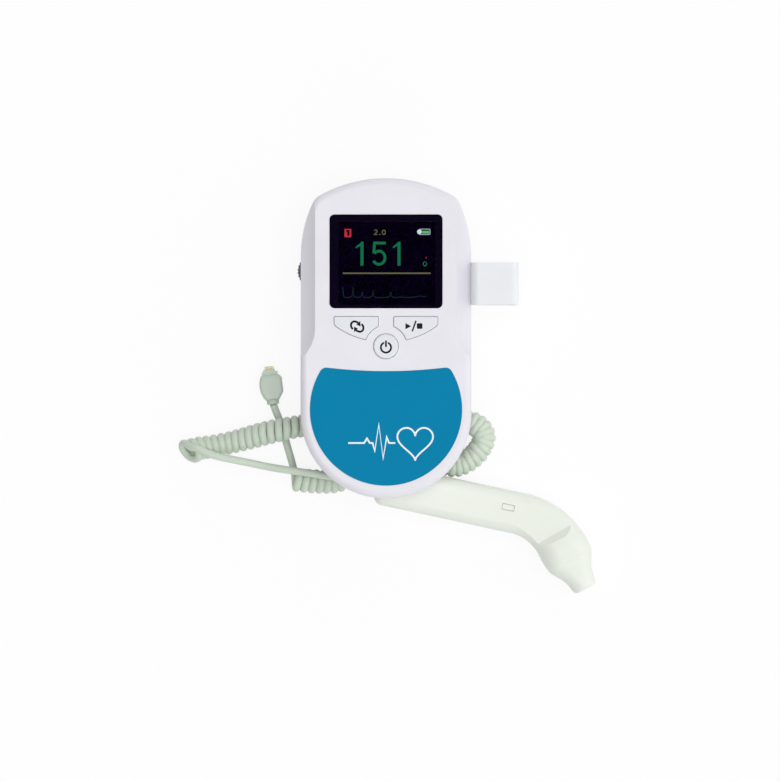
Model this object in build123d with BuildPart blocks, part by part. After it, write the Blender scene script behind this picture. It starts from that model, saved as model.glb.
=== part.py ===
from build123d import *

import math
import os

# Handheld fetal doppler monitor, with a pencil probe on a curly cord lying beside and under it.
# Millimetres, +Z up. The unit lies on its back. The origin is on the rest face of the rear cover, on the
# unit's centreline; +Y points to the domed end, +X to the probe holder.

# ---- Driving dimensions ----------------------------------------------------------------------------

# Housing outline, seen from the front
body_half_width = 36.0
dome_y = 52.5
dome_radius = 57.3
shoulder_y = 19.5
shoulder_radius = 52.0
shoulder_corner_radius = 6.0
foot_y = -46.5

# Housing depths and walls
rear_depth = 5.5
front_depth = 12.0
side_wall = 2.2
front_wall = 2.0
rear_wall = 2.0
front_edge_radius = 2.8
rear_edge_radius = 3.2
seam_chamfer = 0.3
lip_height = 1.2
lip_thickness = 0.9
lip_gap = 0.1

# Finger scoops along both sides of the front
scoop_width = 6.2
scoop_depth = 7.0
scoop_radius = 20.0
scoop_end_y = -10.5

# Hump on the back
hump_half_length = 41.0
hump_side_wall = 2.65
hump_corner_radius = 8.0
hump_edge_radius = 4.0
hump_wall = 2.4

# Display
window_low_y = -2.4
window_side_border = 3.35
window_end_border = 2.4
window_corner = 2.2
window_thickness = 1.3
window_recess = 1.5
window_chamfer = 0.2
active_width = 41.0
active_length = 34.8
active_x = 0.4
active_drop = 0.8
active_corner = 1.0
display_thickness = 3.2
display_margin = 1.6
holder_wall = 1.5
holder_front_gap = 0.5
seat_gap = 0.1

# Keys
key_top_y = -5.9
key_inner_x = 3.3
key_outer_x = 21.8
key_inner_y = -10.1
key_tip = (8.5, -15.6)
key_belly = (14.9, -13.5)
key_heel = (20.9, -10.1)
key_heel_rise = 1.0
key_corner_radius = 0.4
key_edge_radius = 0.35
power_y = -18.4
power_radius = 5.2
power_edge_radius = 0.6
power_moat_radius = 8.93
key_clearance = 0.2
key_proud = 0.5
power_proud = 0.8
key_flange = 0.8
key_flange_thickness = 1.2
key_travel = 0.5
key_rest_gap = 0.06
switch_x = 12.4
switch_y = -9.8
switch_side = 6.0
switch_body_height = 2.4
plunger_radius = 1.75

# Blue front panel
panel_margin = 3.9
panel_rise = 1.5
panel_thickness = 0.5
panel_top_y = -28.8
panel_top_radius = 211.0
panel_corner = 3.0
panel_gap = 0.08

# Main board
board_thickness = 1.6
board_drop = 5.5
board_inset = 3.4
board_low_y = -38.0
board_high_y = 41.0
# Centre, width, length and height of each chip under the board
chips = [(9, 24, 10, 10, 1.2), (-12, 24, 12, 8, 1.4), (8, -8, 7, 7, 1.0)]

# Volume wheel
wheel_proud = 1.4
wheel_y = 13.4
wheel_radius = 7.0
wheel_thickness = 2.8
wheel_drop = 0.3
wheel_teeth = 30
wheel_tooth_depth = 0.35
axle_radius = 1.5
axle_clearance = 0.05
wheel_side_gap = 0.3
wheel_slot_gap = 0.45
pot_radius = 3.2
wheel_screw_head_radius = 2.4
wheel_screw_head_height = 1.0

# Sockets in the domed end
jack_x = 5.5
jack_width = 6.0
jack_barrel_radius = 2.9
jack_bore_radius = 1.8
jack_bore_length = 14.0
jack_tail = 1.05
socket_x = -7.0
socket_width = 10.4
socket_height = 6.6
socket_face_width = 13.0
socket_face_height = 8.6
socket_face_depth = 3.6
socket_back_gap = 0.4
socket_mouth_width = 7.8
socket_mouth_height = 5.0
socket_mouth_depth = 6.0

# Speaker
speaker_y = -20.0
speaker_radius = 14.0
speaker_rim = 1.5
speaker_magnet_radius = 8.5
speaker_height = 8.0
grille_wall = 2.6
grille_recess = 0.6
grille_slot = 1.6
grille_pitch = 3.4
grille_margin = 1.0
mesh_thickness = 0.3
speaker_ring_wall = 1.2
speaker_ring_lip = 0.8

# Batteries, two AA cells side by side
cell_radius = 7.1
cell_length = 49.0
cell_nub_radius = 2.7
cell_nub_length = 1.0
cell_spacing = 0.6
bay_end_margin = 2.3
bay_roof = 2.7
saddle_half_length = 20.0
saddle_rise = 3.0
saddle_gap = 0.4
cell_gap = 0.3
contact_thickness = 0.4
spring_length = 3.0
spring_wire_radius = 0.35
spring_radius = 3.4
spring_turns = 3
contact_side = 9.0

# Battery door, sliding towards the domed end
door_side_step = 0.2
door_low_y = 3.4
door_thickness = 1.8
door_recess = 0.2
door_tongue = 1.2
door_tongue_thickness = 0.8
door_tongue_high_y = 32.0
door_gap = 0.15
grip_inset = 6.0
grip_ribs = 5
grip_pitch = 1.8
grip_length = 16.0
grip_width = 0.9
grip_depth = 0.5

# Screws
screw_head_radius = 2.2
screw_head_height = 1.5
screw_shank_radius = 1.1
screw_slot_length = 2.4
screw_slot_width = 0.5
screw_slot_depth = 0.7
case_boss_radius = 2.6
case_screw_length = 10.0
dome_screw_x = 16.5
dome_screw_inset = 7.5
foot_screw_inset = 9.26
foot_screw_angle = 20.8
board_screw_length = 5.0
board_post_radius = 2.2
board_screw_display_gap = 1.8
board_screw_side_inset = 8.5
board_screw_high_inset = 11.0
board_screw_low_inset = 5.0

# Probe holder on the right side
holder_y = 8.1
holder_length = 17.8
holder_side_gap = 0.5
holder_end_gap = 1.1
holder_ring_wall = 1.8
holder_plate = 1.1
holder_corner = 3.0
holder_inner_corner = 1.8
holder_stem_length = 10.0
holder_stem_height = 3.0
holder_key_length = 14.0
holder_key_height = 5.0
holder_key_thickness = 1.4

# Probe: a straight handle, a bend and a head that narrows to the tip
probe_width = 17.7
probe_height = 16.5
probe_z = probe_height / 2
probe_corner = 4.2
probe_end = (-4.0, -76.3)
probe_bend_start = (56.0, -89.2)
probe_bend_end = (74.9, -103.1)
probe_tip = (85.1, -121.35)
probe_wall = 2.1
probe_end_radius = 3.9
probe_head_width = 21.2
probe_head_height = 19.0
probe_head_corner = 8.2
bend_sections = 4
nose_length = 13.3
tip_radius = 1.6
# The handle's flat top ends in a slope that climbs the head
flat_end = (72.4, -97.5)
flat_slope = 38.0
snap_centre = (51.9, -86.6)
snap_length = 5.3
snap_width = 2.6
snap_gap = 0.15
snap_sink = 0.25
lens_radius = 3.4
lens_thickness = 1.2
crystal_thickness = 0.8
crystal_split = 0.4
backing_thickness = 3.5
boot_radius = 3.4
boot_length = 4.0
boot_taper = 12

# Cord
cord_radius = 1.6
coil_radius = 5.1

# Plug
plug_exit = (-48.1, -42.9)
plug_heading = 6.7
plug_width = 9.8
plug_thickness = 7.2
plug_body_length = 10.8
plug_foot_width = 5.6
plug_neck_width = 7.6
plug_edge_radius = 1.2
plug_corner_radius = 0.7
plug_shoulder = 1.4
plug_nose_width = 6.8
plug_nose_thickness = 4.6
plug_nose_length = 2.4
plug_tongue_width = 3.8
plug_tongue_thickness = 2.4
plug_tongue_proud = 1.3
contact_count = 4
contact_share = 0.55
contact_height = 0.12
collar_radius = 2.6
collar_length = 1.8
collar_edge_radius = 0.5

# ---- Sizes that follow from them ---------------------------------------------------------------------

# Battery bay, door and tracks, which set the hump's width and the housing's height over the rest face
cell_pitch = 2 * cell_radius + cell_spacing
bay_half_width = cell_length / 2 + spring_length / 2 + cell_nub_length / 2 + contact_thickness + cell_gap
bay_half_length = cell_pitch / 2 + cell_radius + cell_gap
cell_row_y = door_low_y + bay_end_margin + bay_half_length
cell_ys = (cell_row_y - cell_pitch / 2, cell_row_y + cell_pitch / 2)
cell_z = door_recess + door_thickness + cell_gap + cell_radius
bay_top_z = cell_z + cell_radius + cell_gap
door_half_width = bay_half_width - door_side_step
tongue_top_z = door_recess + door_thickness
track_half_width = door_half_width + door_tongue + door_gap
hump_half_width = track_half_width + hump_side_wall

rear_floor_z = bay_top_z + bay_roof - rear_wall
parting_z = rear_floor_z + rear_depth
front_z = parting_z + front_depth
inner_front_z = front_z - front_wall
inner_rear_z = rear_floor_z + rear_wall
inner_x = body_half_width - side_wall
scoop_edge_x = body_half_width - scoop_width

window_width = active_width + 2 * window_side_border
window_length = active_length + 2 * window_end_border
window_y = window_low_y + window_length / 2
active_y = window_y - active_drop
display_width = active_width + 2 * display_margin
display_length = active_length + 2 * display_margin

panel_radius = body_half_width - panel_margin
panel_y = foot_y + panel_rise

board_top_z = inner_front_z - board_drop
board_low_z = board_top_z - board_thickness
wheel_x = wheel_radius - body_half_width - wheel_proud
wheel_mid_z = parting_z - wheel_drop
wheel_low_z = wheel_mid_z - wheel_thickness / 2
socket_back_y = board_high_y + socket_back_gap

dome_screw_y = dome_y - dome_screw_inset
foot_screw_lean = math.radians(foot_screw_angle)
foot_screw_x = (body_half_width - foot_screw_inset) * math.cos(foot_screw_lean)
foot_screw_y = foot_y - (body_half_width - foot_screw_inset) * math.sin(foot_screw_lean)
case_screw_places = [
    (-dome_screw_x, dome_screw_y),
    (dome_screw_x, dome_screw_y),
    (-foot_screw_x, foot_screw_y),
    (foot_screw_x, foot_screw_y),
]
high_screw_x = active_x + display_width / 2 + holder_wall + board_screw_display_gap + board_post_radius
low_screw_x = body_half_width - board_screw_side_inset
board_screw_places = [
    (-high_screw_x, board_high_y - board_screw_high_inset),
    (high_screw_x, board_high_y - board_screw_high_inset),
    (-low_screw_x, board_low_y + board_screw_low_inset),
    (low_screw_x, board_low_y + board_screw_low_inset),
]

holder_reach = holder_plate + probe_height + holder_side_gap + holder_ring_wall
holder_height = probe_width + holder_end_gap + 2 * holder_ring_wall

os.makedirs("parts", exist_ok=True)


def finish(piece, name):
    """Labels a finished piece and writes its STEP file."""
    piece.part.label = name
    export_step(piece.part, f"parts/{name}.step")


# ---- Housing ---------------------------------------------------------------------------------------


def crossing(centre_a, radius_a, centre_b, radius_b):
    """Where two circles cross, on the side of greater x."""
    across = Vector(*centre_b) - Vector(*centre_a)
    along = (radius_a**2 - radius_b**2 + across.length**2) / (2 * across.length)
    half_chord = math.sqrt(radius_a**2 - along**2)
    foot = Vector(*centre_a) + across.normalized() * along
    chord = Vector(-across.Y, across.X, 0).normalized() * half_chord
    return max(foot + chord, foot - chord, key=lambda point: point.X)


def housing_outline(inset=0.0):
    """Domed end, rounded shoulders, straight sides and a half-round foot, inset all round."""
    shoulder_x = shoulder_radius - body_half_width
    corner = crossing((0, dome_y - dome_radius), dome_radius, (-shoulder_x, shoulder_y), shoulder_radius)
    lean = math.atan2(corner.Y - shoulder_y, corner.X + shoulder_x) / 2
    bulge = (shoulder_radius * math.cos(lean) - shoulder_x, shoulder_y + shoulder_radius * math.sin(lean))
    with BuildSketch() as outline:
        with BuildLine():
            ThreePointArc((-corner.X, corner.Y), (0, dome_y), (corner.X, corner.Y))
            ThreePointArc((corner.X, corner.Y), bulge, (body_half_width, shoulder_y))
            Line((body_half_width, shoulder_y), (body_half_width, foot_y))
            ThreePointArc(
                (body_half_width, foot_y), (0, foot_y - body_half_width), (-body_half_width, foot_y)
            )
            Line((-body_half_width, foot_y), (-body_half_width, shoulder_y))
            ThreePointArc((-body_half_width, shoulder_y), (-bulge[0], bulge[1]), (-corner.X, corner.Y))
        make_face()
        fillet(outline.vertices().group_by(Axis.Y)[-1], shoulder_corner_radius)
        if inset:
            offset(amount=-inset)
    return outline.sketch


def scoop_cutters(thickness=0.0):
    """Two long round-ended bars that hollow the front's sides; thickness leaves a wall inside the hollow."""
    fall = math.hypot(body_half_width - scoop_edge_x, scoop_depth)
    reach = math.sqrt(scoop_radius**2 - (fall / 2) ** 2)
    centre_x = (scoop_edge_x + body_half_width) / 2 + reach * scoop_depth / fall
    centre_z = front_z - scoop_depth / 2 + reach * (body_half_width - scoop_edge_x) / fall
    radius = scoop_radius + thickness
    slant = radius * math.sqrt(0.5)
    with BuildPart() as cutters:
        for side in (-1, 1):
            with BuildSketch(Plane(origin=(side * centre_x, scoop_end_y, centre_z))):
                with BuildLine():
                    ThreePointArc((0, -radius), (slant, -slant), (radius, 0))
                    Polyline((radius, 0), (radius, 2 * dome_y), (0, 2 * dome_y), (0, -radius))
                make_face()
            revolve(axis=Axis((side * centre_x, scoop_end_y, centre_z), (0, 1, 0)))
    return cutters.part


def key_outline(side, grow=0.0):
    """One of the two wing-shaped keys; side is -1 for the left one and 1 for the right one."""
    lean = (math.atan2(key_tip[1] - power_y, key_tip[0]) + math.atan2(key_inner_y - power_y, key_inner_x)) / 2
    scoop_point = (power_moat_radius * math.cos(lean), power_y + power_moat_radius * math.sin(lean))
    with BuildSketch() as outline:
        with BuildLine():
            Line((key_outer_x, key_top_y), (key_inner_x, key_top_y))
            Line((key_inner_x, key_top_y), (key_inner_x, key_inner_y))
            ThreePointArc((key_inner_x, key_inner_y), scoop_point, key_tip)
            ThreePointArc(key_tip, key_belly, key_heel)
            Line(key_heel, (key_outer_x, key_heel[1] + key_heel_rise))
            Line((key_outer_x, key_heel[1] + key_heel_rise), (key_outer_x, key_top_y))
        make_face()
        fillet(outline.vertices(), key_corner_radius)
        if grow:
            offset(amount=grow)
        if side < 0:
            mirror(about=Plane.YZ, mode=Mode.REPLACE)
    return outline.sketch


def power_outline(grow=0.0):
    with BuildSketch() as outline:
        with Locations((0, power_y)):
            Circle(power_radius + grow)
    return outline.sketch


def dome_surface_y(x, inset=0.0):
    """Where the domed end's wall is, at a distance x from the centreline."""
    return dome_y - dome_radius + math.sqrt((dome_radius - inset) ** 2 - x**2)


def panel_outline(shrink=0.0):
    """The blue panel: a disc whose top is cut off by a shallow hollow arc."""
    corner = crossing((0, panel_y), panel_radius, (0, panel_top_y + panel_top_radius), panel_top_radius)
    with BuildSketch() as outline:
        with BuildLine():
            ThreePointArc((-corner.X, corner.Y), (0, panel_top_y), (corner.X, corner.Y))
            ThreePointArc((corner.X, corner.Y), (0, panel_y - panel_radius), (-corner.X, corner.Y))
        make_face()
        fillet(outline.vertices(), panel_corner)
        if shrink:
            offset(amount=-shrink)
    return outline.sketch


cover_outline = housing_outline()
cavity_outline = housing_outline(side_wall)
lip_outline = housing_outline(side_wall - lip_thickness)
lip_seat_outline = housing_outline(side_wall - lip_thickness - lip_gap)
board_outline = housing_outline(board_inset)
cover_scoops = scoop_cutters()
cavity_scoops = scoop_cutters(front_wall)
panel_seat = panel_outline()
panel_shape = panel_outline(panel_gap)
left_key, right_key, round_key = key_outline(-1), key_outline(1), power_outline()
left_hole, right_hole, round_hole = (
    key_outline(-1, key_clearance),
    key_outline(1, key_clearance),
    power_outline(key_clearance),
)
flange_margin = key_clearance + key_flange
left_flange, right_flange, round_flange = (
    key_outline(-1, flange_margin),
    key_outline(1, flange_margin),
    power_outline(flange_margin),
)

# The wheel's slot goes through both covers at the parting line
slot_reach = math.sqrt(wheel_radius**2 - (wheel_x + body_half_width - side_wall) ** 2) + wheel_slot_gap
with BuildPart() as wheel_slot:
    with Locations((-body_half_width, wheel_y, wheel_mid_z)):
        Box(4 * side_wall, 2 * slot_reach, wheel_thickness + 2 * wheel_slot_gap)

# Holes for the jack's barrel and the probe socket in the domed end
socket_mouth_y = dome_surface_y(socket_x - socket_face_width / 2)
with BuildPart() as end_holes:
    with Locations((jack_x, dome_y, parting_z)):
        Cylinder(jack_barrel_radius, 8 * side_wall, rotation=(90, 0, 0))
    with Locations((socket_x, socket_mouth_y - socket_face_depth / 2 + side_wall, parting_z)):
        Box(socket_face_width, socket_face_depth + 2 * side_wall, socket_face_height)

# The holder's stem and key sit in the right side wall, half in each cover
with BuildPart() as holder_slot:
    with Locations((body_half_width - side_wall / 2, holder_y, parting_z)):
        Box(side_wall, holder_stem_length, holder_stem_height)

# Front cover
with BuildPart() as front_cavity:
    with BuildSketch(Plane.XY.offset(parting_z)):
        add(cavity_outline)
    extrude(amount=inner_front_z - parting_z)
    add(cavity_scoops, mode=Mode.SUBTRACT)

with BuildPart() as front_cover:
    with BuildSketch(Plane.XY.offset(parting_z)):
        add(cover_outline)
    extrude(amount=front_z - parting_z)
    fillet(front_cover.faces().sort_by(Axis.Z)[-1].edges(), front_edge_radius)
    chamfer(front_cover.faces().sort_by(Axis.Z)[0].edges(), seam_chamfer)
    add(cover_scoops, mode=Mode.SUBTRACT)
    add(front_cavity.part, mode=Mode.SUBTRACT)
    # Seat of the rear cover's lip
    with BuildSketch(Plane.XY.offset(parting_z)):
        add(lip_seat_outline)
        add(cavity_outline, mode=Mode.SUBTRACT)
    extrude(amount=lip_height + lip_gap, mode=Mode.SUBTRACT)
    # Bosses for the case screws and posts for the board
    with BuildSketch(Plane.XY.offset(parting_z)):
        with Locations(*case_screw_places):
            Circle(case_boss_radius)
    extrude(amount=inner_front_z - parting_z)
    with BuildSketch(Plane.XY.offset(board_top_z)):
        with Locations(*board_screw_places):
            Circle(board_post_radius)
    extrude(amount=inner_front_z - board_top_z)
    with BuildSketch(Plane.XY.offset(parting_z)):
        with Locations(*case_screw_places):
            Circle(screw_shank_radius)
    extrude(amount=case_screw_length - (parting_z - rear_floor_z - rear_wall), mode=Mode.SUBTRACT)
    with BuildSketch(Plane.XY.offset(board_top_z)):
        with Locations(*board_screw_places):
            Circle(screw_shank_radius)
    extrude(amount=board_screw_length - board_thickness, mode=Mode.SUBTRACT)
    # Window seat and the opening over the display
    with BuildSketch(Plane.XY.offset(front_z)):
        with Locations((0, window_y)):
            RectangleRounded(
                window_width + 2 * seat_gap, window_length + 2 * seat_gap, window_corner + seat_gap
            )
    extrude(amount=-window_recess, mode=Mode.SUBTRACT)
    with BuildSketch(Plane.XY.offset(front_z)):
        with Locations((active_x, active_y)):
            RectangleRounded(active_width, active_length, active_corner)
    extrude(amount=-2 * front_wall, mode=Mode.SUBTRACT)
    # Key openings and the seat of the blue panel
    with BuildSketch(Plane.XY.offset(front_z)):
        add([left_hole, right_hole, round_hole])
    extrude(amount=-2 * front_wall, mode=Mode.SUBTRACT)
    with BuildSketch(Plane.XY.offset(front_z)):
        add(panel_seat)
    extrude(amount=-panel_thickness, mode=Mode.SUBTRACT)
    add(wheel_slot.part, mode=Mode.SUBTRACT)
    add(end_holes.part, mode=Mode.SUBTRACT)
    add(holder_slot.part, mode=Mode.SUBTRACT)
finish(front_cover, "front_cover")

# Envelope of the hump, from which the door's outer face is also taken
with BuildPart() as hump:
    with BuildSketch():
        RectangleRounded(2 * hump_half_width, 2 * hump_half_length, hump_corner_radius)
    extrude(amount=rear_floor_z + rear_wall / 2)
    fillet(hump.faces().sort_by(Axis.Z)[0].edges(), hump_edge_radius)

# Battery bay and the tracks that the door's tongues slide in
with BuildPart() as battery_bay:
    with Locations((0, cell_row_y, bay_top_z / 2)):
        Box(2 * bay_half_width, 2 * bay_half_length, bay_top_z)
    with Locations((0, (door_low_y - door_gap + dome_y) / 2, tongue_top_z / 2)):
        Box(2 * (door_half_width + door_gap), dome_y - door_low_y + door_gap, tongue_top_z + 2 * door_gap)
    with Locations((0, (door_low_y - door_gap + dome_y) / 2, tongue_top_z - door_tongue_thickness / 2)):
        Box(2 * track_half_width, dome_y - door_low_y + door_gap, door_tongue_thickness + 2 * door_gap)

# Ribs between and beside the cells, hollowed to seat them
with BuildPart() as cell_saddles:
    with Locations((0, cell_row_y, (cell_z + saddle_rise + bay_top_z) / 2)):
        Box(2 * saddle_half_length, 2 * bay_half_length, bay_top_z - cell_z - saddle_rise)
    for y in cell_ys:
        with Locations((0, y, cell_z)):
            Cylinder(cell_radius + saddle_gap, 2 * bay_half_width, rotation=(0, 90, 0), mode=Mode.SUBTRACT)

# Rear cover
with BuildPart() as rear_cover:
    with BuildSketch(Plane.XY.offset(rear_floor_z)):
        add(cover_outline)
    extrude(amount=parting_z - rear_floor_z)
    fillet(rear_cover.faces().sort_by(Axis.Z)[0].edges(), rear_edge_radius)
    chamfer(rear_cover.faces().sort_by(Axis.Z)[-1].edges(), seam_chamfer)
    with BuildSketch(Plane.XY.offset(inner_rear_z)):
        add(cavity_outline)
    extrude(amount=parting_z - inner_rear_z, mode=Mode.SUBTRACT)
    # Lip that stands up inside the front cover's wall
    with BuildSketch(Plane.XY.offset(parting_z - seam_chamfer)):
        add(lip_outline)
        add(cavity_outline, mode=Mode.SUBTRACT)
    extrude(amount=lip_height + seam_chamfer)
    add(hump.part)
    # Speaker chamber in the lower half of the hump
    chamber_low_y = -hump_half_length + hump_wall
    chamber_high_y = door_low_y - hump_wall
    with BuildSketch(Plane.XY.offset(grille_wall)):
        with Locations((0, (chamber_low_y + chamber_high_y) / 2)):
            RectangleRounded(
                2 * (hump_half_width - hump_wall),
                chamber_high_y - chamber_low_y,
                hump_corner_radius - hump_wall,
            )
    extrude(amount=parting_z, mode=Mode.SUBTRACT)
    with BuildSketch(Plane.XY.offset(grille_wall)):
        with Locations((0, speaker_y)):
            Circle(speaker_radius + seat_gap + speaker_ring_wall)
            Circle(speaker_radius + seat_gap, mode=Mode.SUBTRACT)
    extrude(amount=mesh_thickness + speaker_rim + speaker_ring_lip)
    # Grille, set slightly back from the rest face
    with BuildSketch():
        with Locations((0, speaker_y)):
            Circle(speaker_radius + grille_margin)
    extrude(amount=grille_recess, mode=Mode.SUBTRACT)
    with BuildSketch():
        slot_rows = int((speaker_radius - 1.5 * grille_margin) / grille_pitch)
        for row in range(-slot_rows, slot_rows + 1):
            half_length = math.sqrt((speaker_radius - grille_margin) ** 2 - (row * grille_pitch) ** 2)
            with Locations((0, speaker_y + row * grille_pitch)):
                SlotOverall(2 * half_length, grille_slot)
    extrude(amount=grille_wall, mode=Mode.SUBTRACT)
    add(battery_bay.part, mode=Mode.SUBTRACT)
    add(cell_saddles.part)
    # Bosses and counterbores for the case screws
    with BuildSketch(Plane.XY.offset(rear_floor_z + rear_wall / 2)):
        with Locations(*case_screw_places):
            Circle(case_boss_radius)
    extrude(amount=parting_z - rear_floor_z - rear_wall / 2)
    with BuildSketch(Plane.XY.offset(rear_floor_z)):
        with Locations(*case_screw_places):
            Circle(screw_head_radius)
    extrude(amount=rear_wall, mode=Mode.SUBTRACT)
    with BuildSketch(Plane.XY.offset(rear_floor_z)):
        with Locations(*case_screw_places):
            Circle(screw_shank_radius)
    extrude(amount=parting_z - rear_floor_z, mode=Mode.SUBTRACT)
    add(wheel_slot.part, mode=Mode.SUBTRACT)
    add(end_holes.part, mode=Mode.SUBTRACT)
    add(holder_slot.part, mode=Mode.SUBTRACT)
finish(rear_cover, "rear_cover")


def screws(places, head_z, length):
    """Pan-head screws driven upwards, each with a cross slot in its head."""
    with BuildPart() as group:
        with BuildSketch(Plane.XY.offset(head_z)):
            with Locations(*places):
                Circle(screw_head_radius)
        extrude(amount=screw_head_height)
        with BuildSketch(Plane.XY.offset(head_z + screw_head_height)):
            with Locations(*places):
                Circle(screw_shank_radius)
        extrude(amount=length)
        with BuildSketch(Plane.XY.offset(head_z)):
            with Locations(*places):
                Rectangle(screw_slot_length, screw_slot_width)
                Rectangle(screw_slot_width, screw_slot_length)
        extrude(amount=screw_slot_depth, mode=Mode.SUBTRACT)
    return group


finish(screws(case_screw_places, inner_rear_z - screw_head_height, case_screw_length), "case_screws")
finish(screws(board_screw_places, board_low_z - screw_head_height, board_screw_length), "board_screws")

# ---- Display ---------------------------------------------------------------------------------------

with BuildPart() as display_window:
    with BuildSketch(Plane.XY.offset(front_z - window_recess)):
        with Locations((0, window_y)):
            RectangleRounded(window_width, window_length, window_corner)
    extrude(amount=window_thickness)
    chamfer(display_window.faces().sort_by(Axis.Z)[-1].edges(), window_chamfer)
finish(display_window, "display_window")

with BuildPart() as display_module:
    with BuildSketch(Plane.XY.offset(inner_front_z)):
        with Locations((active_x, active_y)):
            Rectangle(display_width, display_length)
    extrude(amount=-display_thickness)
finish(display_module, "display_module")

with BuildPart() as display_holder:
    with BuildSketch(Plane.XY.offset(board_top_z)):
        with Locations((active_x, active_y)):
            Rectangle(display_width + 2 * holder_wall, display_length + 2 * holder_wall)
    extrude(amount=inner_front_z - holder_front_gap - board_top_z)
    with BuildSketch(Plane.XY.offset(inner_front_z)):
        with Locations((active_x, active_y)):
            Rectangle(display_width, display_length)
    extrude(amount=-display_thickness, mode=Mode.SUBTRACT)
    with BuildSketch(Plane.XY.offset(inner_front_z)):
        with Locations((active_x, active_y)):
            Rectangle(display_width - 2 * holder_wall, display_length - 2 * holder_wall)
    extrude(amount=-(inner_front_z - board_top_z), mode=Mode.SUBTRACT)
finish(display_holder, "display_holder")

# ---- Board -----------------------------------------------------------------------------------------

with BuildPart() as main_board:
    with BuildSketch(Plane.XY.offset(board_low_z)):
        add(board_outline)
        with Locations((0, (board_low_y + board_high_y) / 2)):
            Rectangle(2 * body_half_width, board_high_y - board_low_y, mode=Mode.INTERSECT)
        with Locations(*board_screw_places):
            Circle(screw_shank_radius, mode=Mode.SUBTRACT)
    extrude(amount=board_thickness)
finish(main_board, "main_board")

with BuildPart() as board_chips:
    for x, y, width, length, height in chips:
        with Locations((x, y, board_low_z - height / 2)):
            Box(width, length, height)
finish(board_chips, "board_chips")

key_centres = [(-switch_x, switch_y), (switch_x, switch_y), (0, power_y)]
flange_low_z = inner_front_z - key_rest_gap - key_flange_thickness
plunger_top_z = flange_low_z - key_travel - key_rest_gap
with BuildPart() as key_switches:
    with BuildSketch(Plane.XY.offset(board_top_z)):
        with Locations(*key_centres):
            Rectangle(switch_side, switch_side)
    extrude(amount=switch_body_height)
    with BuildSketch(Plane.XY.offset(board_top_z)):
        with Locations(*key_centres):
            Circle(plunger_radius)
    extrude(amount=plunger_top_z - board_top_z)
finish(key_switches, "key_switches")

# ---- Keys ------------------------------------------------------------------------------------------


def key(outline, flange, proud, edge):
    """A key cap through the front wall, with a flange behind the wall that keeps it in."""
    with BuildPart() as cap:
        with BuildSketch(Plane.XY.offset(flange_low_z)):
            add(outline)
        extrude(amount=front_z + proud - flange_low_z)
        fillet(cap.faces().sort_by(Axis.Z)[-1].edges(), edge)
        with BuildSketch(Plane.XY.offset(flange_low_z)):
            add(flange)
        extrude(amount=key_flange_thickness)
    return cap


finish(key(left_key, left_flange, key_proud, key_edge_radius), "mode_button")
finish(key(right_key, right_flange, key_proud, key_edge_radius), "play_stop_button")
finish(key(round_key, round_flange, power_proud, power_edge_radius), "power_button")

with BuildPart() as front_panel:
    with BuildSketch(Plane.XY.offset(front_z - panel_thickness)):
        add(panel_shape)
    extrude(amount=panel_thickness)
finish(front_panel, "front_panel")

# ---- Volume control --------------------------------------------------------------------------------

with BuildPart() as volume_wheel:
    with BuildSketch(Plane.XY.offset(wheel_low_z)):
        with Locations((wheel_x, wheel_y)):
            Circle(wheel_radius)
            Circle(axle_radius + axle_clearance, mode=Mode.SUBTRACT)
            with PolarLocations(wheel_radius, wheel_teeth):
                Circle(wheel_tooth_depth, mode=Mode.SUBTRACT)
    extrude(amount=wheel_thickness)
finish(volume_wheel, "volume_wheel")

with BuildPart() as potentiometer:
    with BuildSketch(Plane.XY.offset(board_low_z)):
        with Locations((wheel_x, wheel_y)):
            Circle(pot_radius)
    extrude(amount=-(board_low_z - wheel_low_z - wheel_thickness - wheel_side_gap))
    with BuildSketch(Plane.XY.offset(wheel_low_z - wheel_side_gap)):
        with Locations((wheel_x, wheel_y)):
            Circle(axle_radius)
    extrude(amount=wheel_thickness + 2 * wheel_side_gap)
    with BuildSketch(Plane.XY.offset(wheel_low_z - wheel_side_gap)):
        with Locations((wheel_x, wheel_y)):
            Circle(axle_radius / 2)
    extrude(amount=wheel_thickness, mode=Mode.SUBTRACT)
finish(potentiometer, "potentiometer")

with BuildPart() as wheel_screw:
    with BuildSketch(Plane.XY.offset(wheel_low_z - wheel_side_gap)):
        with Locations((wheel_x, wheel_y)):
            Circle(wheel_screw_head_radius)
    extrude(amount=-wheel_screw_head_height)
    with BuildSketch(Plane.XY.offset(wheel_low_z - wheel_side_gap)):
        with Locations((wheel_x, wheel_y)):
            Circle(axle_radius / 2)
    extrude(amount=wheel_thickness)
finish(wheel_screw, "wheel_screw")

# ---- Sockets ---------------------------------------------------------------------------------------

jack_inner_y = dome_surface_y(jack_x + jack_width / 2, side_wall)
jack_mouth_y = dome_surface_y(jack_x)
jack_back_y = jack_mouth_y - jack_bore_length - jack_tail
with BuildPart() as headphone_jack:
    with Locations((jack_x, (jack_back_y + jack_inner_y) / 2, (parting_z + board_low_z) / 2)):
        Box(jack_width, jack_inner_y - jack_back_y, board_low_z - parting_z)
    with Locations((jack_x, (jack_back_y + jack_inner_y) / 2, parting_z)):
        Cylinder(jack_barrel_radius, jack_inner_y - jack_back_y, rotation=(90, 0, 0))
    with Locations((jack_x, (jack_inner_y + jack_mouth_y) / 2, parting_z)):
        Cylinder(jack_barrel_radius, jack_mouth_y - jack_inner_y, rotation=(90, 0, 0))
    with Locations((jack_x, jack_mouth_y - jack_bore_length / 2, parting_z)):
        Cylinder(jack_bore_radius, jack_bore_length, rotation=(90, 0, 0), mode=Mode.SUBTRACT)
finish(headphone_jack, "headphone_jack")

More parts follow.
